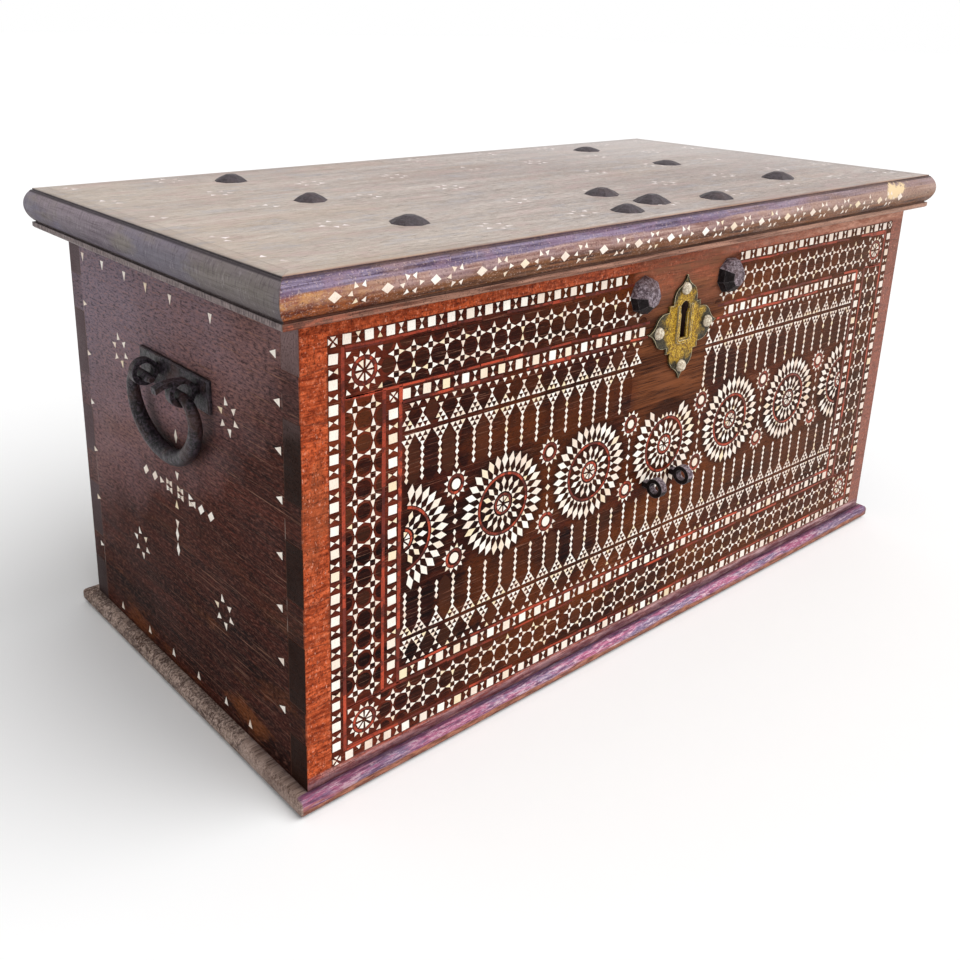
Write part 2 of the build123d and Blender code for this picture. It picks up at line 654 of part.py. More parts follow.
# ---- studs through the lid: three on each hinge strap, four on the catch ----
stud_grip = lid_board_thick + strap_thick
for studs, name in (((*strap_studs[0], *strap_studs[1]), "lid_strap_studs"), (catch_studs, "lid_catch_studs")):
    heads = []
    for i, (x, y, radius, height) in enumerate(studs):
        shift = front_stud_shift if y < -170.0 else 0.0
        heads.append(Pos(x, y, lid_top_z) * faceted_stud(radius, height, stud_grip, 0.72, 0.3, 19 * i, shift))
    with BuildPart() as group:
        add(heads)
    finish(group.part, name)
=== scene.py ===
import bpy
import math
import random
from mathutils import Matrix, Vector


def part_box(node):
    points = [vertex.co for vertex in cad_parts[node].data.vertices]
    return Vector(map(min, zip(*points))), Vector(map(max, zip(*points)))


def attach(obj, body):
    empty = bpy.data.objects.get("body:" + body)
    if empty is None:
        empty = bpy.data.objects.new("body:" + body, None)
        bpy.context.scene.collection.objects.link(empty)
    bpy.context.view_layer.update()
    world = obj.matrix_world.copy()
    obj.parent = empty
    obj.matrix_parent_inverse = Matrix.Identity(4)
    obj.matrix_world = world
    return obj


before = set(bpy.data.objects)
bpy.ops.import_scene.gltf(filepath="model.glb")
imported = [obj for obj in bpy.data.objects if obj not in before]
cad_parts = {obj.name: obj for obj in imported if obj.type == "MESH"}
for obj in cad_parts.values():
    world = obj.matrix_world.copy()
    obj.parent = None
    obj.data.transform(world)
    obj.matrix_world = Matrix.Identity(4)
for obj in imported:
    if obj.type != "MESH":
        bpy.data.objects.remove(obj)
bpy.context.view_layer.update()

# ---- front board ----
# One wide teak board, dovetailed into the side boards at both ends. A band of orange-red paint frames the
# field, which was blackened for the inlay; the wood round the lock was left bare and is the brown of the
# plank.


def light(red, green, blue):
    """A colour, 0 to 255, turned into light."""
    return tuple((value / 255) ** 2.2 for value in (red, green, blue)) + (1,)


def wire(source, socket):
    """Run a wire between two nodes of one tree."""
    source.id_data.links.new(source, socket)


def place(kind, feeds=None, tree=None, **settings):
    """Set one node into the tree that its wires come from: its settings first, then each input.

    An input takes a wire or a value; a colour given as three numbers runs from 0 to 255.
    """
    feeds = feeds or {}
    wires = [feed for feed in feeds.values() if isinstance(feed, bpy.types.NodeSocket)]
    node = (tree or wires[0].id_data).nodes.new(kind)
    for name, value in settings.items():
        setattr(node, name, value)
    for name, feed in feeds.items():
        socket = node.inputs[name]
        if isinstance(feed, bpy.types.NodeSocket):
            wire(feed, socket)
        elif socket.type == "RGBA" and len(feed) == 3:
            socket.default_value = light(*feed)
        else:
            socket.default_value = feed
    return node


def reckon(operation, first, second=0):
    """One sum of two numbers or masks."""
    return place("ShaderNodeMath", {0: first, 1: second}, operation=operation).outputs[0]


def times(first, second):
    return reckon("MULTIPLY", first, second)


def plus(first, second):
    return reckon("ADD", first, second)


def minus(first, second):
    return reckon("SUBTRACT", first, second)


def outside(mask):
    """All that a mask leaves free."""
    return minus(1, mask)


def aside(value):
    """Distance from the middle, on either side of it."""
    return reckon("ABSOLUTE", value)


def rise(value, start, end, low=0, high=1):
    """Low before start, high after end, and an even slope between them."""
    feeds = {"Value": value, "From Min": start, "From Max": end, "To Min": low, "To Max": high}
    return place("ShaderNodeMapRange", feeds).outputs[0]


def between(value, low, high, soft):
    """1 between low and high, falling to 0 over soft on either side."""
    return times(rise(value, low - soft, low + soft), rise(value, high + soft, high - soft))


def mix(mask, under, over, how="MIX"):
    """Colour over colour, as far as the mask lets it."""
    return place("ShaderNodeMix", {0: mask, 6: under, 7: over}, data_type="RGBA", blend_type=how).outputs[2]


def tint(mask, share, tone, over):
    """Colour laid over by a share of a mask."""
    return mix(times(mask, share), tone, over)


def coats(tone, *layers):
    """Tints one over another: each is (mask, share, colour), or (value, start, end, share, colour)."""
    for *mask, share, over in layers:
        tone = tint(mask[0] if len(mask) == 1 else rise(*mask), share, tone, over)
    return tone


def split(at):
    """X, Y and Z of a place or a direction."""
    return place("ShaderNodeSeparateXYZ", {0: at}).outputs


def stretched(at, factors):
    """Coordinates stretched along X, Y and Z."""
    return place("ShaderNodeVectorMath", {0: at, 1: factors}, operation="MULTIPLY").outputs[0]


def distance(at):
    """Distance of a place from the origin."""
    return place("ShaderNodeVectorMath", {0: at}, operation="LENGTH").outputs["Value"]


def cloud(at, scale, detail=3, rough=0.55):
    """Soft random cloud, about 0.25 to 0.75. Three scales stretch it, for grain that runs one way."""
    if isinstance(scale, tuple):
        at, scale = stretched(at, scale), 1
    feeds = {"Vector": at, "Scale": scale, "Detail": detail, "Roughness": rough}
    return place("ShaderNodeTexNoise", feeds).outputs["Fac"]


def sway(noise, reach):
    """A cloud turned into a wander to both sides, a quarter of reach at most."""
    return times(minus(noise, 0.5), reach)


def new_effect(name, takes, gives):
    """An empty shader node group with sockets named in two lists, and its inner inputs and outputs."""
    group = bpy.data.node_groups.new(name, "ShaderNodeTree")
    kinds = {"Place": "Vector", "Normal": "Vector", "Mask": "Float", "Height": "Float", "Pores": "Float",
             "Size": "Float", "Share": "Float", "Reach": "Float"}
    for way, labels in (("INPUT", takes), ("OUTPUT", gives)):
        for label in labels.split(", "):
            kind = "NodeSocket" + kinds.get(label, "Color")
            group.interface.new_socket(name=label, in_out=way, socket_type=kind)
    return group, group.nodes.new("NodeGroupInput").outputs, group.nodes.new("NodeGroupOutput").inputs


def give(gives, *made):
    """Run what an effect makes to its outputs, in their order."""
    for source, socket in zip(made, gives):
        wire(source, socket)


def effect(group, *feeds):
    """The outputs of an effect, fed in the order of its inputs."""
    return place("ShaderNodeGroup", dict(enumerate(feeds)), node_tree=group).outputs


# Grain of a plank that runs along X of Place: broad figure, fine streaks and dark open pores.
timber_grain, given, gives = new_effect(
    "timber_grain", "Place, Light Wood, Dark Wood, Pores", "Color, Height")
at = given["Place"]
figure = cloud(at, (2.4, 30, 30), 5, 0.6)
streak = cloud(at, (9, 330, 330), 3, 0.6)
pore = cloud(at, (34, 1300, 1300), 2, 0.5)
open_pore = times(rise(pore, 0.56, 0.66), given["Pores"])
both = plus(times(figure, 0.6), times(streak, 0.4))
wood = mix(rise(both, 0.38, 0.62), given["Light Wood"], given["Dark Wood"])
wood = mix(open_pore, wood, (0.25, 0.2, 0.18, 1), "MULTIPLY")
give(gives, wood, minus(streak, open_pore))

# Blotches of stain or lost colour: Share of the surface that they cover, Size in pieces per metre, ragged
# edges.
blotches, given, gives = new_effect("blotches", "Place, Size, Share", "Mask")
patch = cloud(given["Place"], given["Size"], 8, 0.62)
edge = minus(0.74, times(given["Share"], 0.46))
wire(rise(minus(patch, edge), -0.03, 0.05), gives["Mask"])


def blotch(at, stretch, size, share):
    return effect(blotches, stretched(at, stretch), size, share)[0]


# Arrises rubbed by hands and floors: Mask is bright on the edge, Normal rounds it over by Reach metres.
worn_arris, given, gives = new_effect("worn_arris", "Place, Reach", "Mask, Normal")
rounded = place("ShaderNodeBevel", {"Radius": given["Reach"]}, samples=6).outputs[0]
flat = place("ShaderNodeNewGeometry", tree=worn_arris).outputs["Normal"]
turn = place("ShaderNodeVectorMath", {0: rounded, 1: flat}, operation="DOT_PRODUCT").outputs["Value"]
ragged = rise(cloud(given["Place"], 180, 4), 0.35, 0.6, 0.2, 1)
give(gives, times(rise(turn, 0.995, 0.88), ragged), rounded)

# Dirt that settles where pieces meet, with painted shade from ambient occlusion there, within Reach metres of
# the corner.
settled_dirt_and_shade, given, gives = new_effect("settled_dirt_and_shade", "Place, Reach", "Mask")
shut_in = place("ShaderNodeAmbientOcclusion", {"Distance": given["Reach"]}, samples=6).outputs["AO"]
patchy = rise(cloud(given["Place"], 60, 3), 0.3, 0.6, 0.55, 1)
wire(times(rise(shut_in, 0.85, 0.35), patchy), gives["Mask"])


def new_finish(name, gloss=0.2, metal=0):
    """A material, its shader, and the object's own coordinates."""
    finish = bpy.data.materials.new(name)
    finish.use_nodes = True
    shader = finish.node_tree.nodes["Principled BSDF"]
    shader.inputs["Specular IOR Level"].default_value = gloss
    shader.inputs["Metallic"].default_value = metal
    return finish, shader, place("ShaderNodeTexCoord", tree=finish.node_tree).outputs["Object"]


def facing(at):
    """X, Y and Z of the direction that the surface faces."""
    return split(at.node.outputs["Normal"])


def age(shader, at, tone, relief, depth, worn, dirty_and_shaded, sheen):
    """The last touches on any old piece: rubbed arrises, dirt and painted shade in the corners, roughness and
    relief.

    worn, and the dirt with painted shade, are (reach in metres, share, colour); sheen is (patches per metre,
    smoothest, roughest).
    """
    rubbed, rounded = effect(worn_arris, at, worn[0])
    # corner dirt and painted shade, darkest where ambient occlusion finds hidden corners
    dirt_and_shade = effect(settled_dirt_and_shade, at, dirty_and_shaded[0])[0]
    wire(coats(tone, (rubbed, *worn[1:]), (dirt_and_shade, *dirty_and_shaded[1:])), shader.inputs["Base Color"])
    wire(rise(cloud(at, sheen[0], 4), 0.3, 0.7, sheen[1], sheen[2]), shader.inputs["Roughness"])
    feeds = {"Height": relief, "Distance": depth, "Strength": 1, "Normal": rounded}
    wire(place("ShaderNodeBump", feeds).outputs[0], shader.inputs["Normal"])


def dress(finish, *nodes):
    """Give carried-over pieces their finish."""
    for name in nodes:
        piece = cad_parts[name]
        if not piece.material_slots:
            piece.data.materials.append(finish)
        for material_slot in piece.material_slots:
            material_slot.material = finish


# The orange-red paint of the frame: brushed on thin over the wood, browner in patches, fading to a greyish
# pink at the right, and nicked through in short dark marks.
orange_paint, given, gives = new_effect("orange_paint", "Place", "Color, Height")
at = given["Place"]
brushed = cloud(at, (60, 60, 420), 5, 0.7)
tone = mix(rise(brushed, 0.36, 0.64), (208, 96, 56), (120, 48, 28))
mottled = cloud(at, 170, 6, 0.75)
nicks = rise(cloud(at, (640, 640, 360), 5, 0.75), 0.555, 0.61)
tone = coats(
    tone, (mottled, 0.5, 0.62, 0.65, (96, 38, 24)), (mottled, 0.46, 0.36, 0.5, (232, 134, 96)),
    (blotch(at, (1, 1, 0.5), 18, 0.4), 0.5, (138, 76, 50)),  # browned
    (split(at)[0], -0.25, 0.42, 0.72, (136, 104, 96)), (nicks, 0.7, (62, 26, 20)),
    (cloud(at, (520, 520, 300), 3, 0.6), 0.62, 0.68, 0.6, (232, 160, 134)))  # chips
give(gives, tone, minus(brushed, nicks))

# The blackened ground of the inlay: ochre where the stain has gone, greyer towards the right, with fine pale
# scratches along the grain.
blackened_ground, given, gives = new_effect(
    "blackened_ground", "Place, Light Wood, Dark Wood", "Color, Height")
at = given["Place"]
tone, ridges = effect(timber_grain, at, given["Light Wood"], given["Dark Wood"], 0.9)
tone = coats(
    tone,
    (blotch(at, (1, 1, 1.8), 7, 0.42), 0.36, (112, 56, 24)),  # ochre
    (times(between(split(at)[0], -0.16, 0.2, 0.16), rise(cloud(at, (9, 1, 15), 5), 0.42, 0.66)), 0.6,
     (128, 66, 26)),  # glow
    (times(rise(split(at)[0], -0.05, 0.36), rise(cloud(at, (5, 1, 16), 5), 0.3, 0.62, 0.35, 1)), 0.42,
     (112, 78, 58)),  # greyed
    (cloud(at, (22, 1, 1000), 4, 0.65), 0.59, 0.65, 0.42, (158, 112, 92)),  # scratch
    (cloud(at, (260, 260, 700), 5, 0.75), 0.52, 0.6, 0.6, (18, 6, 5)))  # pitted
give(gives, tone, ridges)

# A violet-grey painted sheen, the sky's reflection laid into the colour: it lies over the upper and rear part
# of the box ends, ragged below, and is paler still higher up.
painted_sheen, given, gives = new_effect("painted_sheen", "Place", "Mask, Color")
at = given["Place"]
_, y, z = split(at)
height_up = plus(plus(z, times(y, 0.6)), sway(cloud(at, 9, 5, 0.65), 0.16))
tone = mix(rise(cloud(at, (1, 4, 14), 5), 0.35, 0.65), (140, 112, 118), (116, 86, 84))
tone = tint(rise(height_up, 0.32, 0.46), 0.6, tone, (138, 130, 148))
give(gives, rise(height_up, 0.2, 0.3), tone)

front_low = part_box("front_panel")[0]
mid_z = 0.2217               # middle row of the inlay
field_half_x = 0.4249        # the painted frame begins here
field_half_z = 0.1926
half_rosette_pitch = 0.0584  # the big rosettes stand 116.8 mm apart

painted_front, shader, at = new_finish("painted_front", gloss=0.05)
x, y, z = split(at)
above_mid = minus(z, mid_z)
wander = sway(cloud(at, 90, 4), 0.006)
tone, ridges = effect(blackened_ground, at, (88, 40, 27), (36, 12, 8))

# the bare patch round the lock: wide above, narrower down to the middle rosette
loose_x = plus(x, wander)
upper_patch = times(between(loose_x, -0.066, 0.088, 0.008), rise(above_mid, 0.118, 0.128))
lower_patch = times(between(loose_x, -0.058, 0.058, 0.01), rise(above_mid, 0.024, 0.056))
plank = effect(timber_grain, at, (128, 76, 48), (44, 20, 10), 1)[0]
bared = tint(rise(above_mid, 0.13, 0.2), 0.4, plank, (182, 124, 98))
tone = mix(reckon("MAXIMUM", upper_patch, lower_patch), tone, bared)

reddened = times(rise(x, -0.345, -0.36), rise(cloud(at, (40, 1, 60), 5, 0.7), 0.38, 0.6))
tone = tint(reddened, 0.3, tone, (150, 64, 44))
# black mastic bedding the big rosettes
from_rosette = place("ShaderNodeCombineXYZ", {0: reckon("PINGPONG", x, half_rosette_pitch), 2: above_mid})
from_rosette = distance(from_rosette.outputs[0])
mastic = times(rise(from_rosette, 0.054, 0.049), rise(aside(x), 0.352, 0.35))
tone = tint(mastic, 0.55, tone, (24, 8, 6))

paint, brush_marks = effect(orange_paint, at)
stained = times(
    times(between(loose_x, -0.075, 0.1, 0.01), rise(above_mid, 0.14, 0.17)),
    rise(cloud(at, (20, 1, 90), 5, 0.7), 0.42, 0.6))
tone = tint(stained, 0.55, tone, paint)
frame_paint = reckon(
    "MAXIMUM", rise(plus(aside(x), times(wander, 0.3)), field_half_x, field_half_x + 0.0006),
    rise(aside(above_mid), field_half_z, field_half_z + 0.0006))
rubbed_off = times(between(loose_x, -0.07, 0.1, 0.02), rise(cloud(at, (10, 1, 60), 5, 0.7), 0.4, 0.56))
frame_paint = times(frame_paint, outside(times(rubbed_off, 0.75)))
tone = mix(frame_paint, tone, paint)
tone = coats(
    tone,
    (times(rise(above_mid, 0.192, 0.196), rise(x, 0.02, 0.3)), 0.75,
     mix(rise(cloud(at, (40, 1, 160), 5, 0.7), 0.4, 0.6), (232, 176, 152), (176, 118, 96))),  # top rail lightened at the right: painted light against the lid's shadow
    (times(rise(above_mid, -0.191, -0.196), rise(x, -0.5, 0.3, 0.55, 0.8)), 1,
     mix(rise(cloud(at, (30, 1, 260), 5, 0.75), 0.4, 0.56), (206, 172, 176), (112, 74, 80))),  # foot fade
    (times(rise(above_mid, -0.196, -0.2), rise(cloud(at, (7, 1, 40), 5, 0.7), 0.4, 0.5)), 0.6,
     (76, 46, 62)))  # foot stain

# end grain of the dovetails, seen on the ends of the box
end_grain = rise(aside(facing(at)[0]), 0.5, 0.6)
# painted sheen: the end grain turns violet grey over the upper, rear part of the box ends
sheen_mask = effect(painted_sheen, at)[0]
dark_end = mix(cloud(at, (300, 60, 700), 3), (58, 34, 25), (16, 7, 5))
dark_end = tint(sheen_mask, 0.8, dark_end, mix(cloud(at, (60, 300, 700), 4, 0.7), (158, 132, 132), (108, 84, 82)))
tone = mix(end_grain, tone, dark_end)
inside = rise(y, front_low.y + 0.003, front_low.y + 0.004)
tone = mix(times(inside, outside(end_grain)), tone, mix(0.5, plank, (140, 100, 70)))
age(
    shader, at, tone, mix(frame_paint, ridges, brush_marks), 0.0003, (0.0022, 0.5, (108, 62, 46)),
    (0.008, 0.7, (44, 26, 24)), (38, 0.4, 0.62))
dress(painted_front, "front_panel")

# ---- side boards and back board ----
# Teak planks darkened by smoke and oil, their grain running round the box. The ends of the side boards show
# between the dovetails and carry the orange paint of the frame across the front.
side_teak, shader, at = new_finish("side_teak", gloss=0.05)
x, y, z = split(at)
swapped = place("ShaderNodeCombineXYZ", {0: y, 1: x, 2: z}).outputs[0]
tone, ridges = effect(timber_grain, swapped, (84, 40, 30), (28, 9, 7), 1)
lost = blotch(swapped, (0.7, 1, 2.2), 9, 0.36)
# painted sheen: a violet-grey reflection over the upper, rear part of the ends, with more pale flecks under
# it
sheen_mask, violet = effect(painted_sheen, at)
grit = cloud(swapped, (150, 480, 480), 5, 0.75)
scratch = times(rise(cloud(swapped, (12, 1, 900), 4, 0.65), 0.6, 0.66), rise(y, 0.15, -0.1, 0.3, 1))
near_corner = aside(y)
tone = coats(
    tone, (times(lost, rise(z, 0.2, 0.03)), 0.8, (120, 68, 36)), (sheen_mask, 0.85, violet),
    (grit, 0.515, 0.575, 0.62, (18, 7, 6)),
    (times(rise(grit, 0.475, 0.405), plus(times(sheen_mask, 0.5), 0.5)), 0.46, (160, 112, 98)),
    (scratch, 0.55, (164, 120, 100)), (near_corner, 0.184, 0.19, 0.3, (48, 30, 26)),
    (times(between(near_corner, 0.1858, 0.1864, 0.0003), rise(cloud(at, 22, 3), 0.5, 0.56)), 0.55,
     (196, 180, 168)))  # scribed
on_front = rise(y, front_low.y + 0.0016, front_low.y + 0.0008)
paint = effect(orange_paint, at)[0]
tone = mix(on_front, tone, paint)
at_back = rise(y, -front_low.y - 0.0016, -front_low.y - 0.0008)
inside = rise(aside(x), 0.4465, 0.4455)
at_either_end = reckon("MAXIMUM", on_front, at_back)
tone = coats(
    tone, (at_back, 0.8, (70, 52, 46)), (times(inside, outside(at_either_end)), 0.75, (140, 100, 70)))
age(
    shader, at, tone, plus(ridges, scratch), 0.00024, (0.0022, 0.45, (112, 76, 60)),
    (0.014, 0.7, (30, 18, 18)), (14, 0.42, 0.6))
dress(side_teak, "left_side_panel", "right_side_panel")

back_teak, shader, at = new_finish("back_teak")
_, y, z = split(at)
tone, ridges = effect(timber_grain, at, (120, 82, 64), (64, 40, 32), 1)
end_grain = rise(aside(facing(at)[0]), 0.5, 0.6)
tone = coats(
    tone,
    (blotch(at, (0.6, 1, 2), 8, 0.4), 0.5, (142, 112, 92)),  # lost
    (y, 0.2075, 0.2065, 0.6, (150, 110, 78)))
# end grain seen on the box ends: violet grey under the same painted sheen as the side boards, dark brown
# below it
tone = mix(end_grain, tone, mix(cloud(at, (300, 60, 700), 3), (100, 80, 84), (66, 48, 50)))
low_ends = times(end_grain, rise(z, 0.16, 0.08))
tone = tint(low_ends, 0.75, tone, (44, 24, 18))
age(
    shader, at, tone, ridges, 0.0003, (0.0022, 0.5, (140, 110, 94)), (0.02, 0.8, (34, 24, 22)),
    (14, 0.5, 0.72))
dress(back_teak, "back_panel")

# ---- bottom boards ----
# Four planks nailed up into the walls. The front one is painted violet and magenta over its rounded edge,
# rubbed back to orange brown along the floor; the ends of all four are bare, grey and split.
bottom_bare, shader, at = new_finish("bottom_bare")
tone, ridges = effect(timber_grain, at, (186, 162, 150), (104, 82, 72), 1)
speckled = cloud(at, 420, 5, 0.7)
worn_pale = cloud(at, 120, 6, 0.7)
tone = coats(
    tone, (speckled, 0.51, 0.57, 0.7, (66, 46, 40)), (speckled, 0.47, 0.4, 0.6, (226, 200, 186)),
    (worn_pale, 0.52, 0.6, 0.5, (206, 180, 164)), (worn_pale, 0.46, 0.38, 0.6, (74, 54, 48)))
for name in ("bottom_board_2", "bottom_board_3", "bottom_board_4"):
    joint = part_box(name)[0].y
    tone = tint(between(split(at)[1], joint - 0.0006, joint + 0.0006, 0.0005), 0.85, tone, (36, 26, 24))
age(
    shader, at, tone, plus(ridges, speckled), 0.0007, (0.0025, 0.5, (178, 158, 146)),
    (0.01, 0.6, (40, 28, 26)), (50, 0.6, 0.85))
dress(bottom_bare, "bottom_board_2", "bottom_board_3", "bottom_board_4")

bottom_painted, shader, at = new_finish("bottom_painted")
x, y, z = split(at)
streaks = cloud(at, (14, 300, 300), 6, 0.7)
patches = cloud(at, (9, 60, 60), 6, 0.7)
tone = mix(rise(patches, 0.47, 0.55), (184, 104, 136), (136, 118, 148))
fine = cloud(at, (90, 700, 700), 5, 0.75)
tone = coats(
    tone, (streaks, 0.52, 0.58, 0.7, (72, 52, 82)), (fine, 0.53, 0.6, 0.6, (84, 50, 70)),
    (fine, 0.47, 0.39, 0.55, (238, 208, 218)),
    (cloud(at, (50, 240, 240), 6, 0.75), 0.54, 0.6, 0.65, (232, 204, 212)),  # pale
    (plus(y, times(minus(patches, 0.5), 0.012)), front_low.y - 0.0055, front_low.y - 0.003, 0.6,
     (66, 44, 70)),  # against wall
    (aside(x), 0.1, 0.42, 0.42, (88, 54, 74)))
floor_rub = rise(plus(z, times(minus(streaks, 0.5), 0.02)), 0.0105, 0.0085)
bare_edge = mix(rise(cloud(at, (60, 300, 300), 5, 0.7), 0.4, 0.6), (176, 116, 92), (104, 62, 50))
tone = mix(floor_rub, tone, bare_edge)
painted_edge = times(rise(y, front_low.y + 0.001, front_low.y - 0.0002), rise(aside(x), 0.4612, 0.4598))
bare_wood = effect(timber_grain, at, (186, 162, 150), (104, 82, 72), 1)[0]
tone = mix(painted_edge, bare_wood, tone)
age(
    shader, at, tone, streaks, 0.0009, (0.002, 0.35, (190, 156, 150)), (0.008, 0.85, (40, 24, 40)),
    (60, 0.45, 0.68))
dress(bottom_painted, "bottom_board_1")

# ---- inlay of the front board ----
# Small plates of camel bone, with red wax lines and rings, let into the blackened field and scraped level.
# They were cut and set by eye, so no two are quite alike; a few have fallen out, and none remain round the
# lock.
MM = 0.001
UP, DOWN, RIGHT, LEFT = math.pi / 2, -math.pi / 2, 0, math.pi
chance = random.Random(1871)
bone, wax, ebony = [], [], []


def off(x, z, reach, angle):
    """The point at reach from (x, z), along angle."""
    return x + reach * math.cos(angle), z + reach * math.sin(angle)


def turns(count, first=0):
    """The angles of so many pieces set round a ring."""
    return [2 * math.pi * (i + first) / count for i in range(count)]


def turned(points, x, z, angle):
    """An outline turned about its own origin and moved to (x, z)."""
    c, s = math.cos(angle), math.sin(angle)
    return [(x + px * c - pz * s, z + px * s + pz * c) for px, pz in points]


def wedge(x, z, base, length, angle):
    """A triangle whose base is centred on (x, z) and whose point lies along angle."""
    return turned([(0, -base / 2), (length, 0), (0, base / 2)], x, z, angle)


def kite(x, z, start, belly, tip, width, angle):
    """A kite that points away from (x, z), given by its distances along the way."""
    return turned([(start, 0), (belly, -width / 2), (tip, 0), (belly, width / 2)], x, z, angle)


def tile(x, z, width, height, angle=0):
    w, h = width / 2, height / 2
    return turned([(-w, -h), (w, -h), (w, h), (-w, h)], x, z, angle)


def disc(x, z, radius, sides=16):
    return [off(x, z, radius, angle) for angle in turns(sides)]


def half_disc(x, z, radius, angle, sides=10):
    """Half a round, its straight edge through (x, z) and its belly along angle."""
    steps = [math.pi * i / sides for i in range(sides + 1)]
    return turned([(radius * math.sin(step), -radius * math.cos(step)) for step in steps], x, z, angle)


def ring(x, z, inner, outer, parts):
    """A ring as short curved lengths."""
    ends = [2 * math.pi * i / parts for i in range(parts + 1)]
    return [[off(x, z, inner, a), off(x, z, outer, a), off(x, z, outer, b), off(x, z, inner, b)]
            for a, b in zip(ends, ends[1:])]


def string(x0, z0, x1, z1, width):
    """A straight wax line, filled in a hand's breadth at a time."""
    made = []
    length = math.hypot(x1 - x0, z1 - z0)
    parts = max(1, round(length / 28))
    angle = math.atan2(z1 - z0, x1 - x0)
    for i in range(parts):
        t = (i + 0.5) / parts
        made.append(tile(x0 + (x1 - x0) * t, z0 + (z1 - z0) * t, length / parts,
                         width * chance.uniform(0.8, 1.15), angle))
    return made


def centre(outline):
    return sum(x for x, _ in outline) / len(outline), sum(z for _, z in outline) / len(outline)


def bring_in(name, data):
    """A new object in the scene."""
    piece = bpy.data.objects.new(name, data)
    bpy.context.scene.collection.objects.link(piece)
    return piece


def set_plates(name, outlines, seat, stand, edge, finish, body):
    """Set thin plates, each with its own tone, into a surface. seat turns (x, z, height) into a point."""
    points, faces, tones = [], [], []
    for outline in outlines:
        n = len(outline)
        mid_x, mid_z = centre(outline)
        shade = chance.random()
        first = len(points)
        for height, inset in ((-0.4, 0), (stand - edge, 0), (stand, edge)):
            for x, z in outline:
                reach = math.hypot(x - mid_x, z - mid_z) or 1
                pull = min(0.5, inset / reach)
                points.append(seat(x + (mid_x - x) * pull, z + (mid_z - z) * pull, height))
        points.append(seat(mid_x, mid_z, stand))
        tones += [shade] * (3 * n + 1)
        faces.append([first + i for i in reversed(range(n))])
        for i in range(n):
            faces.append([first + 2 * n + i, first + 2 * n + (i + 1) % n, first + 3 * n])
        for level in (first, first + n):
            for i in range(n):
                a, b = level + i, level + (i + 1) % n
                faces.append([a, b, b + n, a + n])
    mesh = bpy.data.meshes.new(name)
    mesh.from_pydata(points, [], faces)
    mesh.attributes.new("tone", "FLOAT", "POINT").data.foreach_set("value", tones)
    mesh.materials.append(finish)
    piece = bring_in(name, mesh)
    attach(piece, body)


def on_front_board(x, z, height):
    """Millimetres from the middle of the field, seen from the front."""
    return Vector((x * MM, front_low.y - height * MM, mid_z + z * MM))


def left_bare(x, z):
    """True round the lock, where no inlay was laid or none is left."""
    widening = (z - 140) / 38
    for above, low, high in ((179, -80, 103), (138, -45 - 30 * widening, 64 + 34 * widening), (125, -43, 77),
                             (94, -50, 58), (50, -60, 58), (33, -24, 22)):
        if z > above:
            return low < x < high
    return False


def cut(stock, outline, loss=0.004):
    """Cut one plate by hand: a little off its place, and now and then lost."""
    x, z = centre(outline)
    if left_bare(x, z) or chance.random() < loss:
        return
    dx, dz = chance.uniform(-0.22, 0.22), chance.uniform(-0.22, 0.22)
    size = chance.uniform(0.93, 1.05)
    sized = [((px - x) * size, (pz - z) * size) for px, pz in outline]
    stock.append(turned(sized, x + dx, z + dz, chance.uniform(-0.05, 0.05)))


# a level run of plates and an upright one: the angles that point onwards, back, outwards and inwards on them
LEVEL, UPRIGHT = (RIGHT, LEFT, UP, DOWN), (UP, DOWN, RIGHT, LEFT)


def on_run(run, along, beside):
    return (along, beside) if run is LEVEL else (beside, along)


# bands of square tiles with a pair of wedges between each two
for half_x, half_z, width, squares_x, squares_z in ((420, 187.7, 9, 40, 18), (361.8, 131.4, 9.4, 34, 12)):
    for side in (-1, 1):
        for run, half, beside, squares, corner in ((LEVEL, half_x, side * half_z, squares_x, 1.45),
                                                   (UPRIGHT, half_z, side * half_x, squares_z, 1.55)):
            reach = half - width * corner
            pitch = 2 * reach / (squares - 1)
            for i in range(squares):
                along = -reach + i * pitch
                cut(bone, tile(*on_run(run, along, beside), *on_run(run, 8.2, width - 0.6)))
                if i < squares - 1:
                    for way, angle in ((-1, run[2]), (1, run[3])):
                        x, z = on_run(run, along + pitch / 2, beside + way * (width / 2 - 0.3))
                        cut(bone, wedge(x, z, 4.9, width / 2 - 0.5, angle))
        for end in (-1, 1):
            for angle in (UP, DOWN, RIGHT, LEFT):
                cut(bone, wedge(*off(side * half_x, end * half_z, -4.2, angle), 5, 3.2, angle))

# red wax lines between the bands
for side in (-1, 1):
    for x in (411.2, 371.2, 354.2):
        reach_z = 182 if x > 400 else 139
        wax += string(side * x, -reach_z, side * x, reach_z, 3.6)
    for z, reach_x, width in ((181.2, 409, 2.4), (139.2, 409, 2.4), (125, 353, 2.6)):
        for line in string(-reach_x, side * z, reach_x, side * z, width):
            cut(wax, line, 0.12)

# lattice of dark rounds between small discs, four wedges at each disc
for side in (-1, 1):
    for run, half, beside, rounds, radius, half_radius, dot, gap, tip in (
            (LEVEL, 368, side * 159.2, 42, 6.7, 5.6, 2.4, 2.7, 5.8),
            (UPRIGHT, 139, side * 391, 14, 6.9, 6, 2.5, 2.8, 6.6)):
        onwards, back, outwards, inwards = run
        rows = ((-1, outwards, inwards), (1, inwards, outwards))
        pitch = 2 * half / rounds
        for i in range(rounds + 1):
            along = -half + i * pitch
            if run is LEVEL or 0 < i < rounds:
                cut(ebony, disc(*on_run(run, along, beside), radius))
                for row, here, there in rows:
                    cut(ebony, half_disc(*on_run(run, along, beside + row * 18), half_radius, here))
            if i < rounds:
                for row, here, there in rows:
                    x, z = on_run(run, along + pitch / 2, beside + row * 9)
                    cut(ebony, disc(x, z, dot, 10))
                    for angle, length in ((onwards, tip), (back, tip), (here, 5.9), (there, 5.2)):
                        cut(bone, wedge(*off(x, z, gap, angle), 4.5, length, angle))

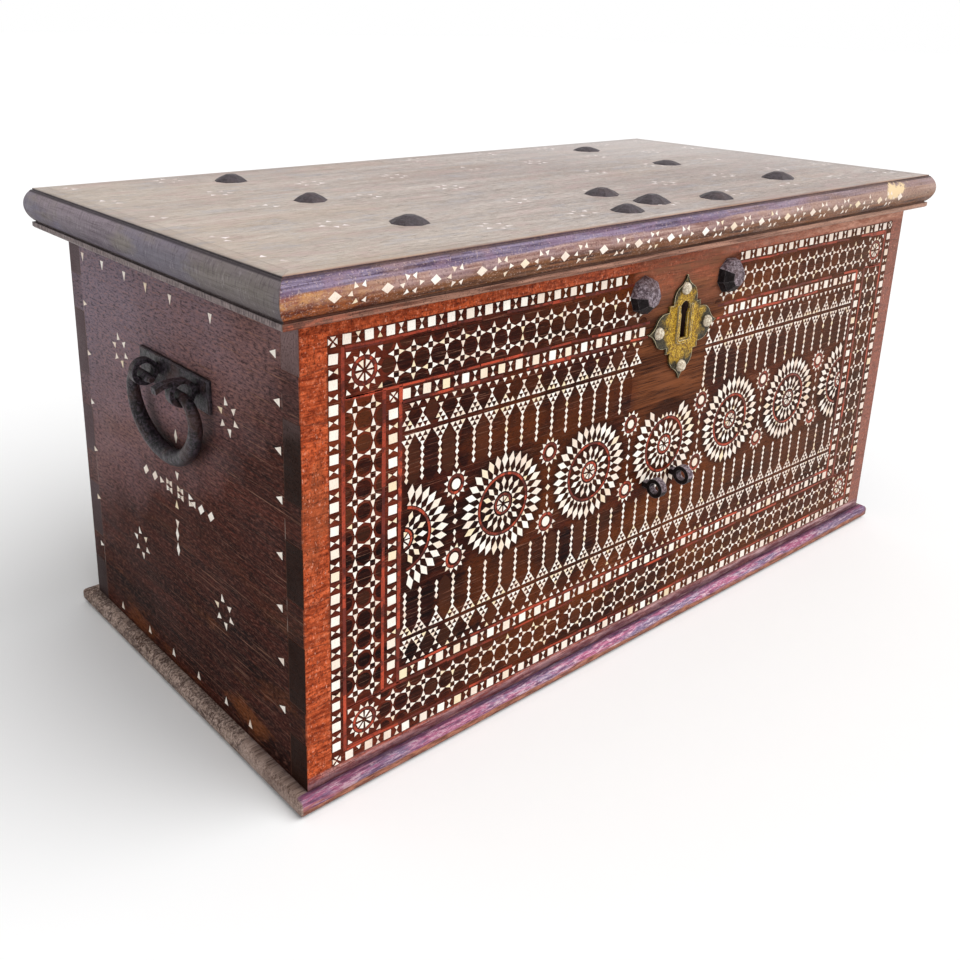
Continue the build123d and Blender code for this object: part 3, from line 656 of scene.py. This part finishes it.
# a small rosette in each corner box
for side in (-1, 1):
    for end in (-1, 1):
        x, z = side * 390.6, end * 159.5
        wax += ring(x, z, 9.7, 12, 24)
        for angle in turns(8, 0.5):
            cut(bone, wedge(*off(x, z, 8.4, angle), 4.6, 6.2, angle + math.pi))
        for angle in turns(14):
            cut(bone, wedge(*off(x, z, 12.7, angle), 4.4, 4.2, angle))
        for ax in (-1, 1):
            for az in (-1, 1):
                cut(bone, wedge(x + ax * 15, z + az * 15, 6, 3.6, math.atan2(az, ax)))
        for up in (19.4, -19.4):
            wax += string(x - 18, z + up, x + 18, z + up, 1.6)


def both_sides(half):
    """A closed outline, from one side of it."""
    return half + [(-x, z) for x, z in half[-2:0:-1]]


# pyramids, arches and hanging columns, mirrored about the middle row
arch = both_sides([(0, 93.6), (-3.2, 90), (-6.3, 82), (-6.8, 74), (-6.8, 56), (-3.4, 51), (0, 48.5)])
onion = both_sides([(0, 98.5), (2.6, 102), (6, 107), (6.9, 112), (5.4, 117), (0, 121.5)])
rosette_pitch = 116.8
column_pitch = rosette_pitch / 6
for end in (-1, 1):
    up, down = (UP, DOWN) if end > 0 else (DOWN, UP)
    pyramid = (((-4.8, 4.8), (122, 5, 4, down)),
               ((0,), (115.6, 5.2, 4.2, down), (107.4, 5, 4.2, up)),
               ((-2.9, 2.9), (103.2, 5.4, 4.2, up)),
               ((-5.8, 0, 5.8), (98.9, 5.4, 4.2, up), (94.7, 5.4, 4.2, down)),
               ((-2.9, 2.9), (90.4, 5.4, 4.2, down)),
               ((0,), (86.2, 5.4, 4.4, down)))
    for k in range(-18, 19):
        cut_short = abs(k) == 18
        inwards = 1 if k < 0 else -1
        x = k * column_pitch + (inwards * 3 if cut_short else 0)
        for offsets, *wedges in pyramid:
            for offset in offsets:
                if not cut_short or offset * inwards > -3.5:
                    for z, base, length, angle in wedges:
                        cut(bone, wedge(x + offset, end * z, base, length, angle))
        for i in range(5):
            cut(bone, kite(x, end * (79.4 - 6.35 * i + 3.4), 0, 3.4, 6.7, 4.3, down))
        if k < 18:
            for ground in (arch, onion):
                cut(ebony, [((k + 0.5) * column_pitch + px, end * pz) for px, pz in ground[::end]], 0)


def shown(plate):
    """True for a plate that the bands at both ends leave free."""
    return all(abs(x) < 350 for x, z in plate)


# large rosettes along the middle row, halves at both ends, and a pair of suns between each two
for k in range(-3, 4):
    x = k * rosette_pitch
    plates = []
    for angle in turns(32):
        plates += [kite(x, 0, 35.4, 43.4, 50.6, 7.5, angle), wedge(*off(x, 0, 31.4, angle), 4.8, 4.4, angle)]
    for angle in turns(16):
        plates += [kite(x, 0, 16.2, 21.8, 26.8, 5.5, angle), wedge(*off(x, 0, 12, angle), 4.3, 4.4, angle)]
    plates += [wedge(*off(x, 0, 7.4, angle), 4.4, 5.2, angle + math.pi) for angle in turns(8, 0.5)]
    for plate in filter(shown, plates):
        cut(bone, plate)
    wax += [part for part in ring(x, 0, 28.2, 30.6, 40) + ring(x, 0, 8.3, 10.4, 24)
            if shown(part) and not left_bare(*part[1])]
for k in range(-3, 3):
    x = (k + 0.5) * rosette_pitch
    for z in (-36, 36):
        cut(bone, disc(x, z, 5, 12), 0)
        wax += ring(x, z, 7, 9.4, 20)
        for angle in turns(12, 0.5):
            cut(bone, wedge(*off(x, z, 9.9, angle), 4.4, 4.2, angle))
    for z in (-18, -10.5, 10.5, 18):
        cut(bone, kite(x, z - 3.2, 0, 3.2, 6.4, 3.6, UP))
    cut(bone, tile(x, 0, 4.4, 4.4, math.pi / 4))


def plate_tone(at):
    """The tone that each plate was given, 0 to 1."""
    return place("ShaderNodeAttribute", tree=at.id_data, attribute_name="tone").outputs["Fac"]


def coat_plates(shader, tone, rough, relief, depth):
    """Colour, roughness and a slight relief for plates too thin to wear round."""
    wire(tone, shader.inputs["Base Color"])
    wire(rough, shader.inputs["Roughness"])
    wire(place("ShaderNodeBump", {"Height": relief, "Distance": depth}).outputs[0], shader.inputs["Normal"])


bone_finish, shader, at = new_finish("bone", gloss=0.35)
own_tone = plate_tone(at)
tone = mix(rise(own_tone, 0.1, 0.88), (255, 250, 240), (240, 222, 204))
saw_marks = cloud(at, (2600, 500, 240), 2)
tone = coats(
    tone, (own_tone, 0.86, 0.98, 0.6, (246, 228, 174)),
    (cloud(at, 26, 5), 0.45, 0.7, 0.3, (204, 168, 148)),  # handled
    (split(at)[0], 0, 0.4, 0.28, (196, 164, 148)), (saw_marks, 0.55, 0.75, 0.35, (170, 136, 112)),
    (cloud(at, 900, 4, 0.7), 0.56, 0.64, 0.3, (150, 108, 88)))  # grime
coat_plates(shader, tone, rise(saw_marks, 0.3, 0.7, 0.4, 0.55), saw_marks, 0.00005)

wax_finish, shader, at = new_finish("red_wax")
own_tone = plate_tone(at)
tone = mix(rise(own_tone, 0.1, 0.9), (184, 72, 46), (98, 38, 28))
tone = coats(
    tone, (cloud(at, 34, 6, 0.75), 0.48, 0.56, 0.8, (62, 24, 18)),
    (cloud(at, 520, 4, 0.7), 0.54, 0.62, 0.5, (60, 28, 24)), (split(at)[0], 0, 0.42, 0.35, (150, 96, 80)))
coat_plates(shader, tone, rise(cloud(at, 160, 3), 0.3, 0.7, 0.4, 0.6), cloud(at, 700, 3), 0.00012)

ebony_finish, shader, at = new_finish("blackened_plates", gloss=0.05)
tone, ridges = effect(blackened_ground, at, (66, 30, 22), (24, 8, 7))
tone = tint(rise(plate_tone(at), 0.7, 1), 0.4, tone, (96, 56, 38))
coat_plates(shader, tone, rise(cloud(at, 60, 3), 0.3, 0.7, 0.4, 0.58), ridges, 0.0002)

set_plates("front_bone_inlay", bone, on_front_board, 0.28, 0.14, bone_finish, "chest")
set_plates("front_red_wax_lines", wax, on_front_board, 0.12, 0.04, wax_finish, "chest")
set_plates("front_dark_plates", ebony, on_front_board, 0.1, 0.05, ebony_finish, "chest")

# ---- inlay of the side boards ----
# A row of single bone wedges near every edge, stars of six wedges round the handle, and a stepped cross in
# the middle. The same pattern was laid on both ends of the box.
sides_low, sides_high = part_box("left_side_panel")
side_bone = []


def star(stock, x, z, reach, size, first=UP):
    """Six wedges round an open middle, their points outwards."""
    for i in range(6):
        angle = first + math.pi * i / 3 + chance.uniform(-0.08, 0.08)
        stock.append(wedge(*off(x, z, reach * 0.6, angle), size * 0.84, size, angle))


# measured from the back edge towards the front, and down from the lid
for places, dx, dz, base, length, angle in (
        (((33, 22), (79, 22), (128, 23), (172, 25), (219, 26), (290, 27)), 0, 4, 6.4, 9, DOWN),
        (((386, 32), (390, 70), (390, 110), (390, 152), (388, 202), (386, 251), (386, 302), (386, 349)),
         4, 0, 7.2, 8.8, LEFT),
        (((30, 71), (30, 124), (28, 178), (26, 232), (23, 289), (21, 346)), -4, 0, 6, 8.2, RIGHT),
        (((64, 402), (129, 400), (182, 400), (234, 399), (287, 398), (330, 398)), 0, -4, 6.2, 8.4, UP)):
    side_bone += [wedge(x + dx, dz - down, base, length, angle) for x, down in places]
for x, down in ((107, 101), (313, 107), (125, 301.5), (291, 302)):
    star(side_bone, x, -down, 17, 7.4, UP + 0.2)
side_bone.append(kite(215, -155.6 - 7, 0, 7, 14, 6, UP))
for x, down in ((147, 212), (166, 212), (257, 213), (275, 213)):
    side_bone.append(tile(x, -down, 9.2, 6.6, math.pi / 4 * 0.9))
for i in range(5):
    for row in (-1, 1):
        side_bone.append(wedge(190 + i * 11, -212 + row * 3.4, 6, 8.4, RIGHT if (i + row) % 2 else LEFT))
side_bone.append(wedge(177, -212, 6.8, 8.4, RIGHT))
side_bone.append(wedge(246, -213, 6.8, 8.4, LEFT))
for x, down, angle in ((213, 192, DOWN), (209, 230, UP), (208, 243, DOWN)):
    side_bone.append(wedge(x, -down, 6.6, 8, angle))
for down in (258, 274):
    side_bone.append(kite(206.5, -down - 7, 0, 7, 14, 6.2, UP))

from_back_edge = sides_high.y
lip_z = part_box("lid_moulding_front")[0].z


def on_end(end):
    """Millimetres from the back edge and from the lid, on the left (-1) or right (1) end of the box."""
    return lambda y, z, height: Vector(
        (end * (height * MM - sides_low.x), from_back_edge - y * MM, lip_z + z * MM))


for end, name, order in ((-1, "left", 1), (1, "right", -1)):
    set_plates(f"{name}_side_bone_inlay", [plate[::order] for plate in side_bone], on_end(end), 0.25, 0.14,
               bone_finish, "chest")

# ---- lid boards ----
# Two planks side by side, bleached by sun and scrubbing to a pale grey beige, with the grain standing up
# between worn hollows. Faint stars of bone, worn as thin as the wood, are dotted over them.
scrubbed_teak, given, gives = new_effect("scrubbed_teak", "Place", "Color, Height")
at = given["Place"]
tone, ridges = effect(timber_grain, at, (200, 188, 180), (160, 146, 138), 0.4)
dashes = rise(cloud(at, (60, 620, 620), 3, 0.6), 0.6, 0.68)
flecks = cloud(at, (160, 700, 700), 5, 0.75)
rosy = cloud(at, (24, 60, 1), 5, 0.7)
tone = coats(
    tone, (dashes, 0.6, (112, 92, 84)), (flecks, 0.46, 0.36, 0.55, (230, 220, 212)),
    (flecks, 0.54, 0.64, 0.55, (132, 114, 108)),
    (blotch(at, (0.5, 2.4, 1), 6, 0.42), 0.3, (176, 152, 134)),  # warm
    (split(at)[0], -0.1, -0.42, 0.35, (204, 188, 168)),
    (cloud(at, (4, 12, 1), 5, 0.6), 0.5, 0.64, 0.4, (160, 146, 142)),  # greyer
    (rosy, 0.5, 0.64, 0.3, (196, 160, 158)), (rosy, 0.46, 0.36, 0.3, (166, 166, 178)),
    # paler towards the back right: painted sheen
    (plus(split(at)[0], split(at)[1]), 0.15, 0.6, 0.5, (214, 208, 206)))
give(gives, tone, minus(ridges, dashes))

lid_teak, shader, at = new_finish("lid_teak", gloss=0.3)
tone, ridges = effect(scrubbed_teak, at)
tone = tint(rise(facing(at)[2], 0.5, -0.5), 0.85, tone, (122, 84, 60))  # underside
age(
    shader, at, tone, ridges, 0.0004, (0.0016, 0.2, (120, 100, 90)), (0.014, 0.75, (70, 56, 50)),
    (20, 0.42, 0.6))
dress(lid_teak, "lid_board_front", "lid_board_back")

lid_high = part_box("lid_board_front")[1]
lid_bone = []
for column_x in (-451, -336, -221, -107, 8, 123, 237, 352, 447):
    for row_y in (-174, -87, 18, 115, 211):
        if chance.random() < 0.96:
            star(lid_bone, column_x + chance.uniform(-3, 3), row_y + chance.uniform(-3, 3), 17, 6.6,
                 chance.uniform(0, 1))
lid_bone = [plate for plate in lid_bone if abs(plate[0][0]) < 450 and chance.random() < 0.84]


def on_lid(x, y, height):
    return Vector((x * MM, y * MM, lid_high.z + height * MM))


worn_bone, shader, at = new_finish("worn_bone", gloss=0.3)
tone = mix(plate_tone(at), (250, 240, 238), (212, 196, 190))
wire(tone, shader.inputs["Base Color"])
wire(rise(cloud(at, 300, 3), 0.3, 0.7, 0.4, 0.6), shader.inputs["Roughness"])
set_plates("lid_bone_inlay", lid_bone, on_lid, 0.15, 0.1, worn_bone, "lid")

# ---- lid mouldings ----
# An ovolo over a fillet, run along four battens, mitred and pegged round the lid boards. The front one is
# painted violet above and red brown below the nose; the other three have weathered to bare violet grey.
mould_low, mould_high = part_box("lid_moulding_front")
fillet_top = lip_z + 0.0058
quirk_top = lip_z + 0.0076


def moved(at, step):
    return place("ShaderNodeVectorMath", {0: at, 1: step}, operation="ADD").outputs[0]


painted_moulding, shader, at = new_finish("painted_moulding")
x, y, z = split(at)
streaks = cloud(at, (10, 300, 300), 6, 0.7)
ripple = sway(cloud(at, (8, 1, 60), 5), 0.009)
up = plus(z, plus(ripple, rise(x, -0.47, -0.2, 0.004, 0)))
to_left = rise(x, -0.34, -0.46)
to_right = rise(x, 0.02, 0.36)
mottled = blotch(at, (1, 1, 1.6), 26, 0.5)
lower_band = mix(rise(streaks, 0.42, 0.58), (128, 80, 50), (58, 30, 18))
flaked = cloud(at, (60, 120, 160), 6, 0.75)
lower_band = coats(
    lower_band, (mottled, 0.5, (122, 78, 42)),
    (to_left, 0.8, mix(rise(flaked, 0.42, 0.56), (172, 92, 42), (88, 32, 20))))
middle_band = mix(rise(streaks, 0.42, 0.58), (182, 150, 140), (128, 92, 86))
middle_band = coats(
    middle_band, (mottled, 0.4, (158, 138, 148)),
    (to_left, 0.8, mix(rise(flaked, 0.4, 0.58), (200, 142, 78), (132, 66, 42))))
violet_band = mix(rise(streaks, 0.42, 0.6), (138, 124, 148), (70, 54, 78))
violet_band = tint(mottled, 0.45, violet_band, (138, 108, 130))
tone = mix(rise(up, lip_z + 0.019, lip_z + 0.024), lower_band, middle_band)
tone = mix(rise(up, lip_z + 0.0295, lip_z + 0.031), tone, violet_band)
above_quirk = rise(up, lip_z + 0.014, lip_z + 0.02)
specks = rise(cloud(at, 620, 4, 0.7), 0.56, 0.63)
tone = coats(
    tone, (times(to_right, above_quirk), 0.55, (166, 138, 120)),
    (blotch(at, (0.35, 1, 1.4), 34, 0.34), 0.4, (150, 116, 98)),  # worn through
    (specks, 0.65, (60, 36, 30)),
    (cloud(at, 540, 4, 0.75), 0.57, 0.63, 0.42, (222, 194, 180)))  # light specks
fillet_tone = mix(rise(streaks, 0.4, 0.6), (178, 132, 112), (92, 56, 42))
fillet_tone = coats(
    fillet_tone, (to_right, 0.35, (196, 156, 134)),
    (to_left, 0.7, mix(rise(flaked, 0.44, 0.54), (162, 80, 56), (74, 32, 24))), (specks, 0.75, (44, 24, 20)))
tone = mix(rise(z, fillet_top + 0.0018, fillet_top + 0.0014), tone, fillet_tone)
# painted shade darkening the quirk under the nose
quirk_shade = between(plus(z, times(ripple, 0.12)), fillet_top - 0.0004, quirk_top + 0.0004, 0.0006)
tone = tint(quirk_shade, 0.3, tone, (60, 36, 30))
flat_top = rise(z, mould_high.z - 0.0006, mould_high.z - 0.0002)
board = effect(scrubbed_teak, at)[0]
edge_rub = rise(plus(y, times(ripple, 1.2)), mould_low.y + 0.015, mould_low.y + 0.006)
top_tone = tint(edge_rub, 0.85, board, mix(rise(streaks, 0.44, 0.56), (192, 146, 112), (112, 66, 46)))
tone = mix(flat_top, tone, top_tone)
# painted shade darkening the small quirk along the top edge
top_quirk_shade = between(z, mould_high.z - 0.0028, mould_high.z - 0.0003, 0.0003)
tone = tint(times(top_quirk_shade, rise(streaks, 0.62, 0.42, 0.5, 1)), 0.85, tone, (52, 32, 28))
chipped = distance(stretched(moved(at, (-0.378, 0, -0.459)), (1, 0, 3.4)))
chipped = plus(chipped, sway(cloud(at, 70, 5, 0.7), 0.09))
tone = mix(rise(chipped, 0.028, 0.02), tone, (228, 200, 158))
hidden = rise(y, mould_low.y + 0.0205, mould_low.y + 0.0212)
tone = tint(hidden, 0.8, tone, (130, 92, 68))
age(
    shader, at, tone, streaks, 0.0005, (0.0012, 0.4, (170, 126, 104)), (0.005, 0.55, (44, 28, 26)),
    (40, 0.4, 0.6))
dress(painted_moulding, "lid_moulding_front")

bare_moulding, shader, at = new_finish("bare_moulding")
x, y, z = split(at)
swapped = place("ShaderNodeCombineXYZ", {0: y, 1: x, 2: z}).outputs[0]
on_side = rise(aside(x), 0.4565, 0.458)
along = place("ShaderNodeMix", {0: on_side, 4: at, 5: swapped}, data_type="VECTOR").outputs[1]
tone, ridges = effect(timber_grain, along, (140, 128, 136), (88, 76, 86), 0.5)
plane_marks = cloud(along, (640, 110, 110), 5, 0.7)
tone = coats(
    tone,
    (blotch(at, (1, 0.6, 1), 9, 0.45), 0.45, (134, 128, 108)),  # olive
    (blotch(at, (1, 0.5, 1.6), 14, 0.42), 0.45, (106, 104, 136)),  # bluish
    (z, lip_z + 0.024, lip_z + 0.01, 0.55, (76, 64, 76)),  # low down
    (z, lip_z + 0.026, lip_z + 0.034, 0.25, (168, 152, 160)), (y, 0.02, -0.2, 0.4, (96, 90, 86)),
    (plane_marks, 0.53, 0.64, 0.5, (60, 50, 58)),
    (cloud(along, (380, 120, 120), 4, 0.7), 0.58, 0.68, 0.3, (186, 176, 180)))  # light marks
tone = mix(
    rise(z, fillet_top + 0.0016, fillet_top + 0.001), tone,
    mix(rise(plane_marks, 0.4, 0.6), (146, 130, 128), (84, 72, 72)))
# painted shade darkening the quirk under the nose
quirk_shade = between(z, fillet_top - 0.0004, quirk_top + 0.0005, 0.0006)
tone = tint(quirk_shade, 0.3, tone, (56, 46, 48))
board = effect(scrubbed_teak, at)[0]
flat_top = rise(z, mould_high.z - 0.0006, mould_high.z - 0.0002)
edge_shade = rise(x, -0.4665, -0.4715)
tone = mix(flat_top, tone, tint(edge_shade, 0.35, board, (110, 98, 94)))
# painted shade darkening the small quirk along the top edge
top_quirk_shade = between(z, mould_high.z - 0.0032, mould_high.z - 0.0004, 0.0005)
tone = tint(top_quirk_shade, 0.85, tone, (50, 41, 47))
age(
    shader, at, tone, plus(plane_marks, ridges), 0.0004, (0.0012, 0.3, (170, 162, 160)),
    (0.005, 0.5, (46, 38, 40)), (24, 0.42, 0.62))
dress(bare_moulding, "lid_moulding_left", "lid_moulding_right", "lid_moulding_back")

# ---- inlay of the front moulding ----
# A row of bone lozenges on the nose, a star of six small wedges between each two, following the curve.
lower, middle, upper = (-1.4, 7.6), (5.4, 23.88), (-1.2, 38.2)   # out and up from the fillet's lower edge
ax, ay, bx, by = middle[0] - lower[0], middle[1] - lower[1], upper[0] - lower[0], upper[1] - lower[1]
cross = 2 * (ax * by - ay * bx)
curve_out = lower[0] + (by * (ax * ax + ay * ay) - ay * (bx * bx + by * by)) / cross
curve_up = lower[1] + (ax * (bx * bx + by * by) - bx * (ax * ax + ay * ay)) / cross
curve_radius = math.hypot(lower[0] - curve_out, lower[1] - curve_up)
fillet_face_y = mould_low.y + middle[0] * MM


def on_moulding(x, up, height):
    """x along the lid, up from its lower edge, height out from the curved face; all in millimetres."""
    lean = math.asin((up - curve_up) / curve_radius)
    out = curve_out + (curve_radius + height) * math.cos(lean)
    above = curve_up + (curve_radius + height) * math.sin(lean)
    return Vector((x * MM, fillet_face_y - out * MM, lip_z + above * MM))


moulding_bone = []
lozenge_xs = [-431 + 48 * i + (5 if i > 8 else 0) for i in range(18)]
for i, x in enumerate(lozenge_xs):
    x += chance.uniform(-1.2, 1.2) - (3 if i else 1.5)
    half_w, half_h = chance.uniform(5.4, 6.2), chance.uniform(4.1, 4.6)
    moulding_bone.append(turned([(-half_w, 0), (0, -half_h), (half_w, 0), (0, half_h)], x, 20.6,
                                chance.uniform(-0.1, 0.1)))
    for dx, dz, angle in ((13.8, 0.2, LEFT), (32.4, 0.2, RIGHT), (18.8, -6.2, -2.1), (27.4, -6.2, -1.05),
                          (18.6, 6.3, 2.1), (26.6, 6.3, 1.05)):
        if i < len(lozenge_xs) - 1 and chance.random() < 0.94:
            angle += chance.uniform(-0.4, 0.4)
            moulding_bone.append(wedge(*off(x + dx, 20.6 + dz, -1.8, angle), 4.4, 4.6, angle))
set_plates(
    "lid_front_bone_inlay", moulding_bone, on_moulding, 0.24, 0.1, bone_finish, "lid")

# ---- forged iron ----
# Studs, hinge straps and leaves, catch, lock case, handles and nails: wrought iron left black from the fire,
# hammer-marked, rubbed grey on the high spots and brown with old rust in the hollows.
wrought, given, gives = new_effect("wrought", "Place, Bright, Black", "Color, Height")
at = given["Place"]
dents = place("ShaderNodeTexVoronoi", {"Vector": at, "Scale": 130}, feature="SMOOTH_F1")
dents = dents.outputs["Distance"]
scale_marks = cloud(at, 380, 6, 0.75)
tone = mix(rise(scale_marks, 0.42, 0.54), given["Bright"], given["Black"])
tone = coats(
    tone, (cloud(at, 45, 4, 0.6), 0.48, 0.66, 0.5, (80, 52, 44)),
    (cloud(at, 1300, 3, 0.6), 0.56, 0.64, 0.65, (16, 11, 12)))
give(gives, tone, plus(dents, times(scale_marks, 0.5)))

forged_iron, shader, at = new_finish("forged_iron", gloss=0.28)
tone, dents = effect(wrought, at, (70, 61, 70), (12, 8, 10))
# laid flat on the lid, the studs are rubbed greyer
on_lid_top = rise(split(at)[2], mould_high.z - 0.001, mould_high.z + 0.001)
tone = tint(on_lid_top, 0.4, tone, (104, 94, 98))
age(
    shader, at, tone, dents, 0.0014, (0.0012, 0.45, (138, 126, 138)), (0.007, 0.85, (12, 8, 8)),
    (300, 0.3, 0.55))
dress(
    forged_iron, "left_handle_plate", "right_handle_plate", "left_handle_eyes", "right_handle_eyes",
    "left_handle", "right_handle", "hinge_leaf_left", "hinge_leaf_right", "hinge_pins", "hinge_leaf_studs",
    "lid_strap_left", "lid_strap_right", "lid_catch", "lid_strap_studs", "lid_catch_studs", "lock_case",
    "lock_bolt", "bottom_nails")

# ---- lock studs and padlock eyes ----
# The faceted studs beside the lock and the two eyes for a padlock: bright grey where hands and keys rub them,
# which also stands as a painted highlight on the facets that face up and towards the right, and painted
# shade, near black, on the facets facing down and left.
worn_iron_with_painted_light, shader, at = new_finish("worn_iron_with_painted_light", gloss=0.12)
tone, dents = effect(wrought, at, (162, 148, 156), (84, 70, 76))
to_right, _, to_sky = facing(at)
lit_facing = plus(to_sky, times(to_right, 0.4))
# painted shade: facets that face down or to the left are turned near black
tone = tint(rise(lit_facing, -0.04, -0.16), 0.95, tone, (14, 6, 6))
age(
    shader, at, tone, dents, 0.0012, (0.0014, 0.5, (196, 186, 190)), (0.007, 0.85, (14, 10, 10)),
    (300, 0.32, 0.55))
dress(worn_iron_with_painted_light, "lock_studs", "padlock_eyes")

# ---- escutcheon ----
# A sheet brass plate with four pointed lobes, its middle scratched bright by keys and flecked with painted
# glints, the lobes dull grey green, and a thin rim rubbed pale that also carries a painted highlight. Four
# pale domed nails hold it.
old_brass, shader, at = new_finish("old_brass", gloss=0.3, metal=0.25)
plate_low, plate_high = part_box("escutcheon")
plate_mid = (plate_low + plate_high) / 2
reach = distance(stretched(moved(at, tuple(-plate_mid)), (1, 0, 0.82)))
scribbles = place(
    "ShaderNodeTexNoise",
    {"Vector": at, "Scale": 230, "Detail": 6, "Roughness": 0.75, "Distortion": 2.4}).outputs["Fac"]
gold = mix(rise(scribbles, 0.42, 0.56), (84, 50, 12), (202, 158, 34))
# bright flecks in the gold: key scratches and painted glints
gold = tint(rise(scribbles, 0.57, 0.64), 0.7, gold, (250, 228, 120))
dull = mix(rise(scribbles, 0.42, 0.6), (18, 12, 9), (78, 70, 46))
rubbed = rise(plus(reach, sway(cloud(at, 90, 4), 0.04)), 0.0345, 0.024)
tone = mix(rubbed, dull, gold)
pits = rise(cloud(at, 900, 4, 0.7), 0.57, 0.65)
tone = tint(pits, 0.6, tone, (52, 34, 20))
# the rubbed rim is wear and a painted highlight together
age(
    shader, at, tone, scribbles, 0.0006, (0.0013, 1, (244, 230, 186)), (0.005, 0.85, (34, 22, 16)),
    (300, 0.34, 0.55))
dress(old_brass, "escutcheon")

pale_nails, shader, at = new_finish("pale_nails", gloss=0.5)
worn = cloud(at, 420, 4, 0.7)
tone = mix(rise(worn, 0.38, 0.6), (238, 228, 204), (158, 138, 114))
age(
    shader, at, tone, worn, 0.0005, (0.001, 0.3, (236, 226, 210)), (0.004, 0.85, (44, 32, 26)),
    (500, 0.34, 0.55))
dress(pale_nails, "escutcheon_nails")

# ---- room ----
# A pale studio floor under an even white sky, and one very broad soft light high at the front right.
floor_mesh = bpy.data.meshes.new("studio_floor")
corners = [(x, y, -0.0004) for x, y in ((-30, -30), (30, -30), (30, 30), (-30, 30))]
floor_mesh.from_pydata(corners, [], [(0, 1, 2, 3)])
studio_floor = bring_in("studio_floor", floor_mesh)
pale_floor, shader, _ = new_finish("pale_floor")
shader.inputs["Base Color"].default_value = (0.93, 0.93, 0.93, 1)
shader.inputs["Roughness"].default_value = 0.9
floor_mesh.materials.append(pale_floor)

room = bpy.data.worlds.new("studio")
scene = bpy.context.scene
scene.world = room
room.use_nodes = True
tree = room.node_tree
even_sky = tree.nodes["Background"]
even_sky.inputs["Color"].default_value = (1, 1, 1, 1)
even_sky.inputs["Strength"].default_value = 0.6
backdrop = place("ShaderNodeBackground", {"Color": (1, 1, 1, 1), "Strength": 1}, tree=tree)
seen = place("ShaderNodeLightPath", tree=tree).outputs["Is Camera Ray"]
sky = place("ShaderNodeMixShader", {0: seen, 1: even_sky.outputs[0], 2: backdrop.outputs[0]})
wire(sky.outputs[0], tree.nodes["World Output"].inputs["Surface"])

lamp = bpy.data.lights.new("broad_light", "SUN")
lamp.energy, lamp.angle = 2.3, 1.1
holder = bring_in("broad_light", lamp)
holder.rotation_euler = Vector((-0.34, 0.56, -0.8)).to_track_quat("-Z", "Y").to_euler()

eye = bpy.data.cameras.new("eye")
eye.lens = 39.42
eye.shift_x = 0.0447
eye.shift_y = -0.118
viewer = bring_in("eye", eye)
yaw, pitch, roll = 0.7118, 0.3196, 0.0235
ahead = Vector((math.sin(yaw) * math.cos(pitch), math.cos(yaw) * math.cos(pitch), -math.sin(pitch)))
level = Vector((math.cos(yaw), -math.sin(yaw), 0))
upright = level.cross(ahead)
right = level * math.cos(roll) + upright * math.sin(roll)
upright = right.cross(ahead)
turning = Matrix((right, upright, -ahead)).transposed().to_4x4()
viewer.matrix_world = Matrix.Translation((-0.8501, -0.8293, 0.6397)) @ turning
scene.camera = viewer
scene.view_settings.view_transform = "Standard"
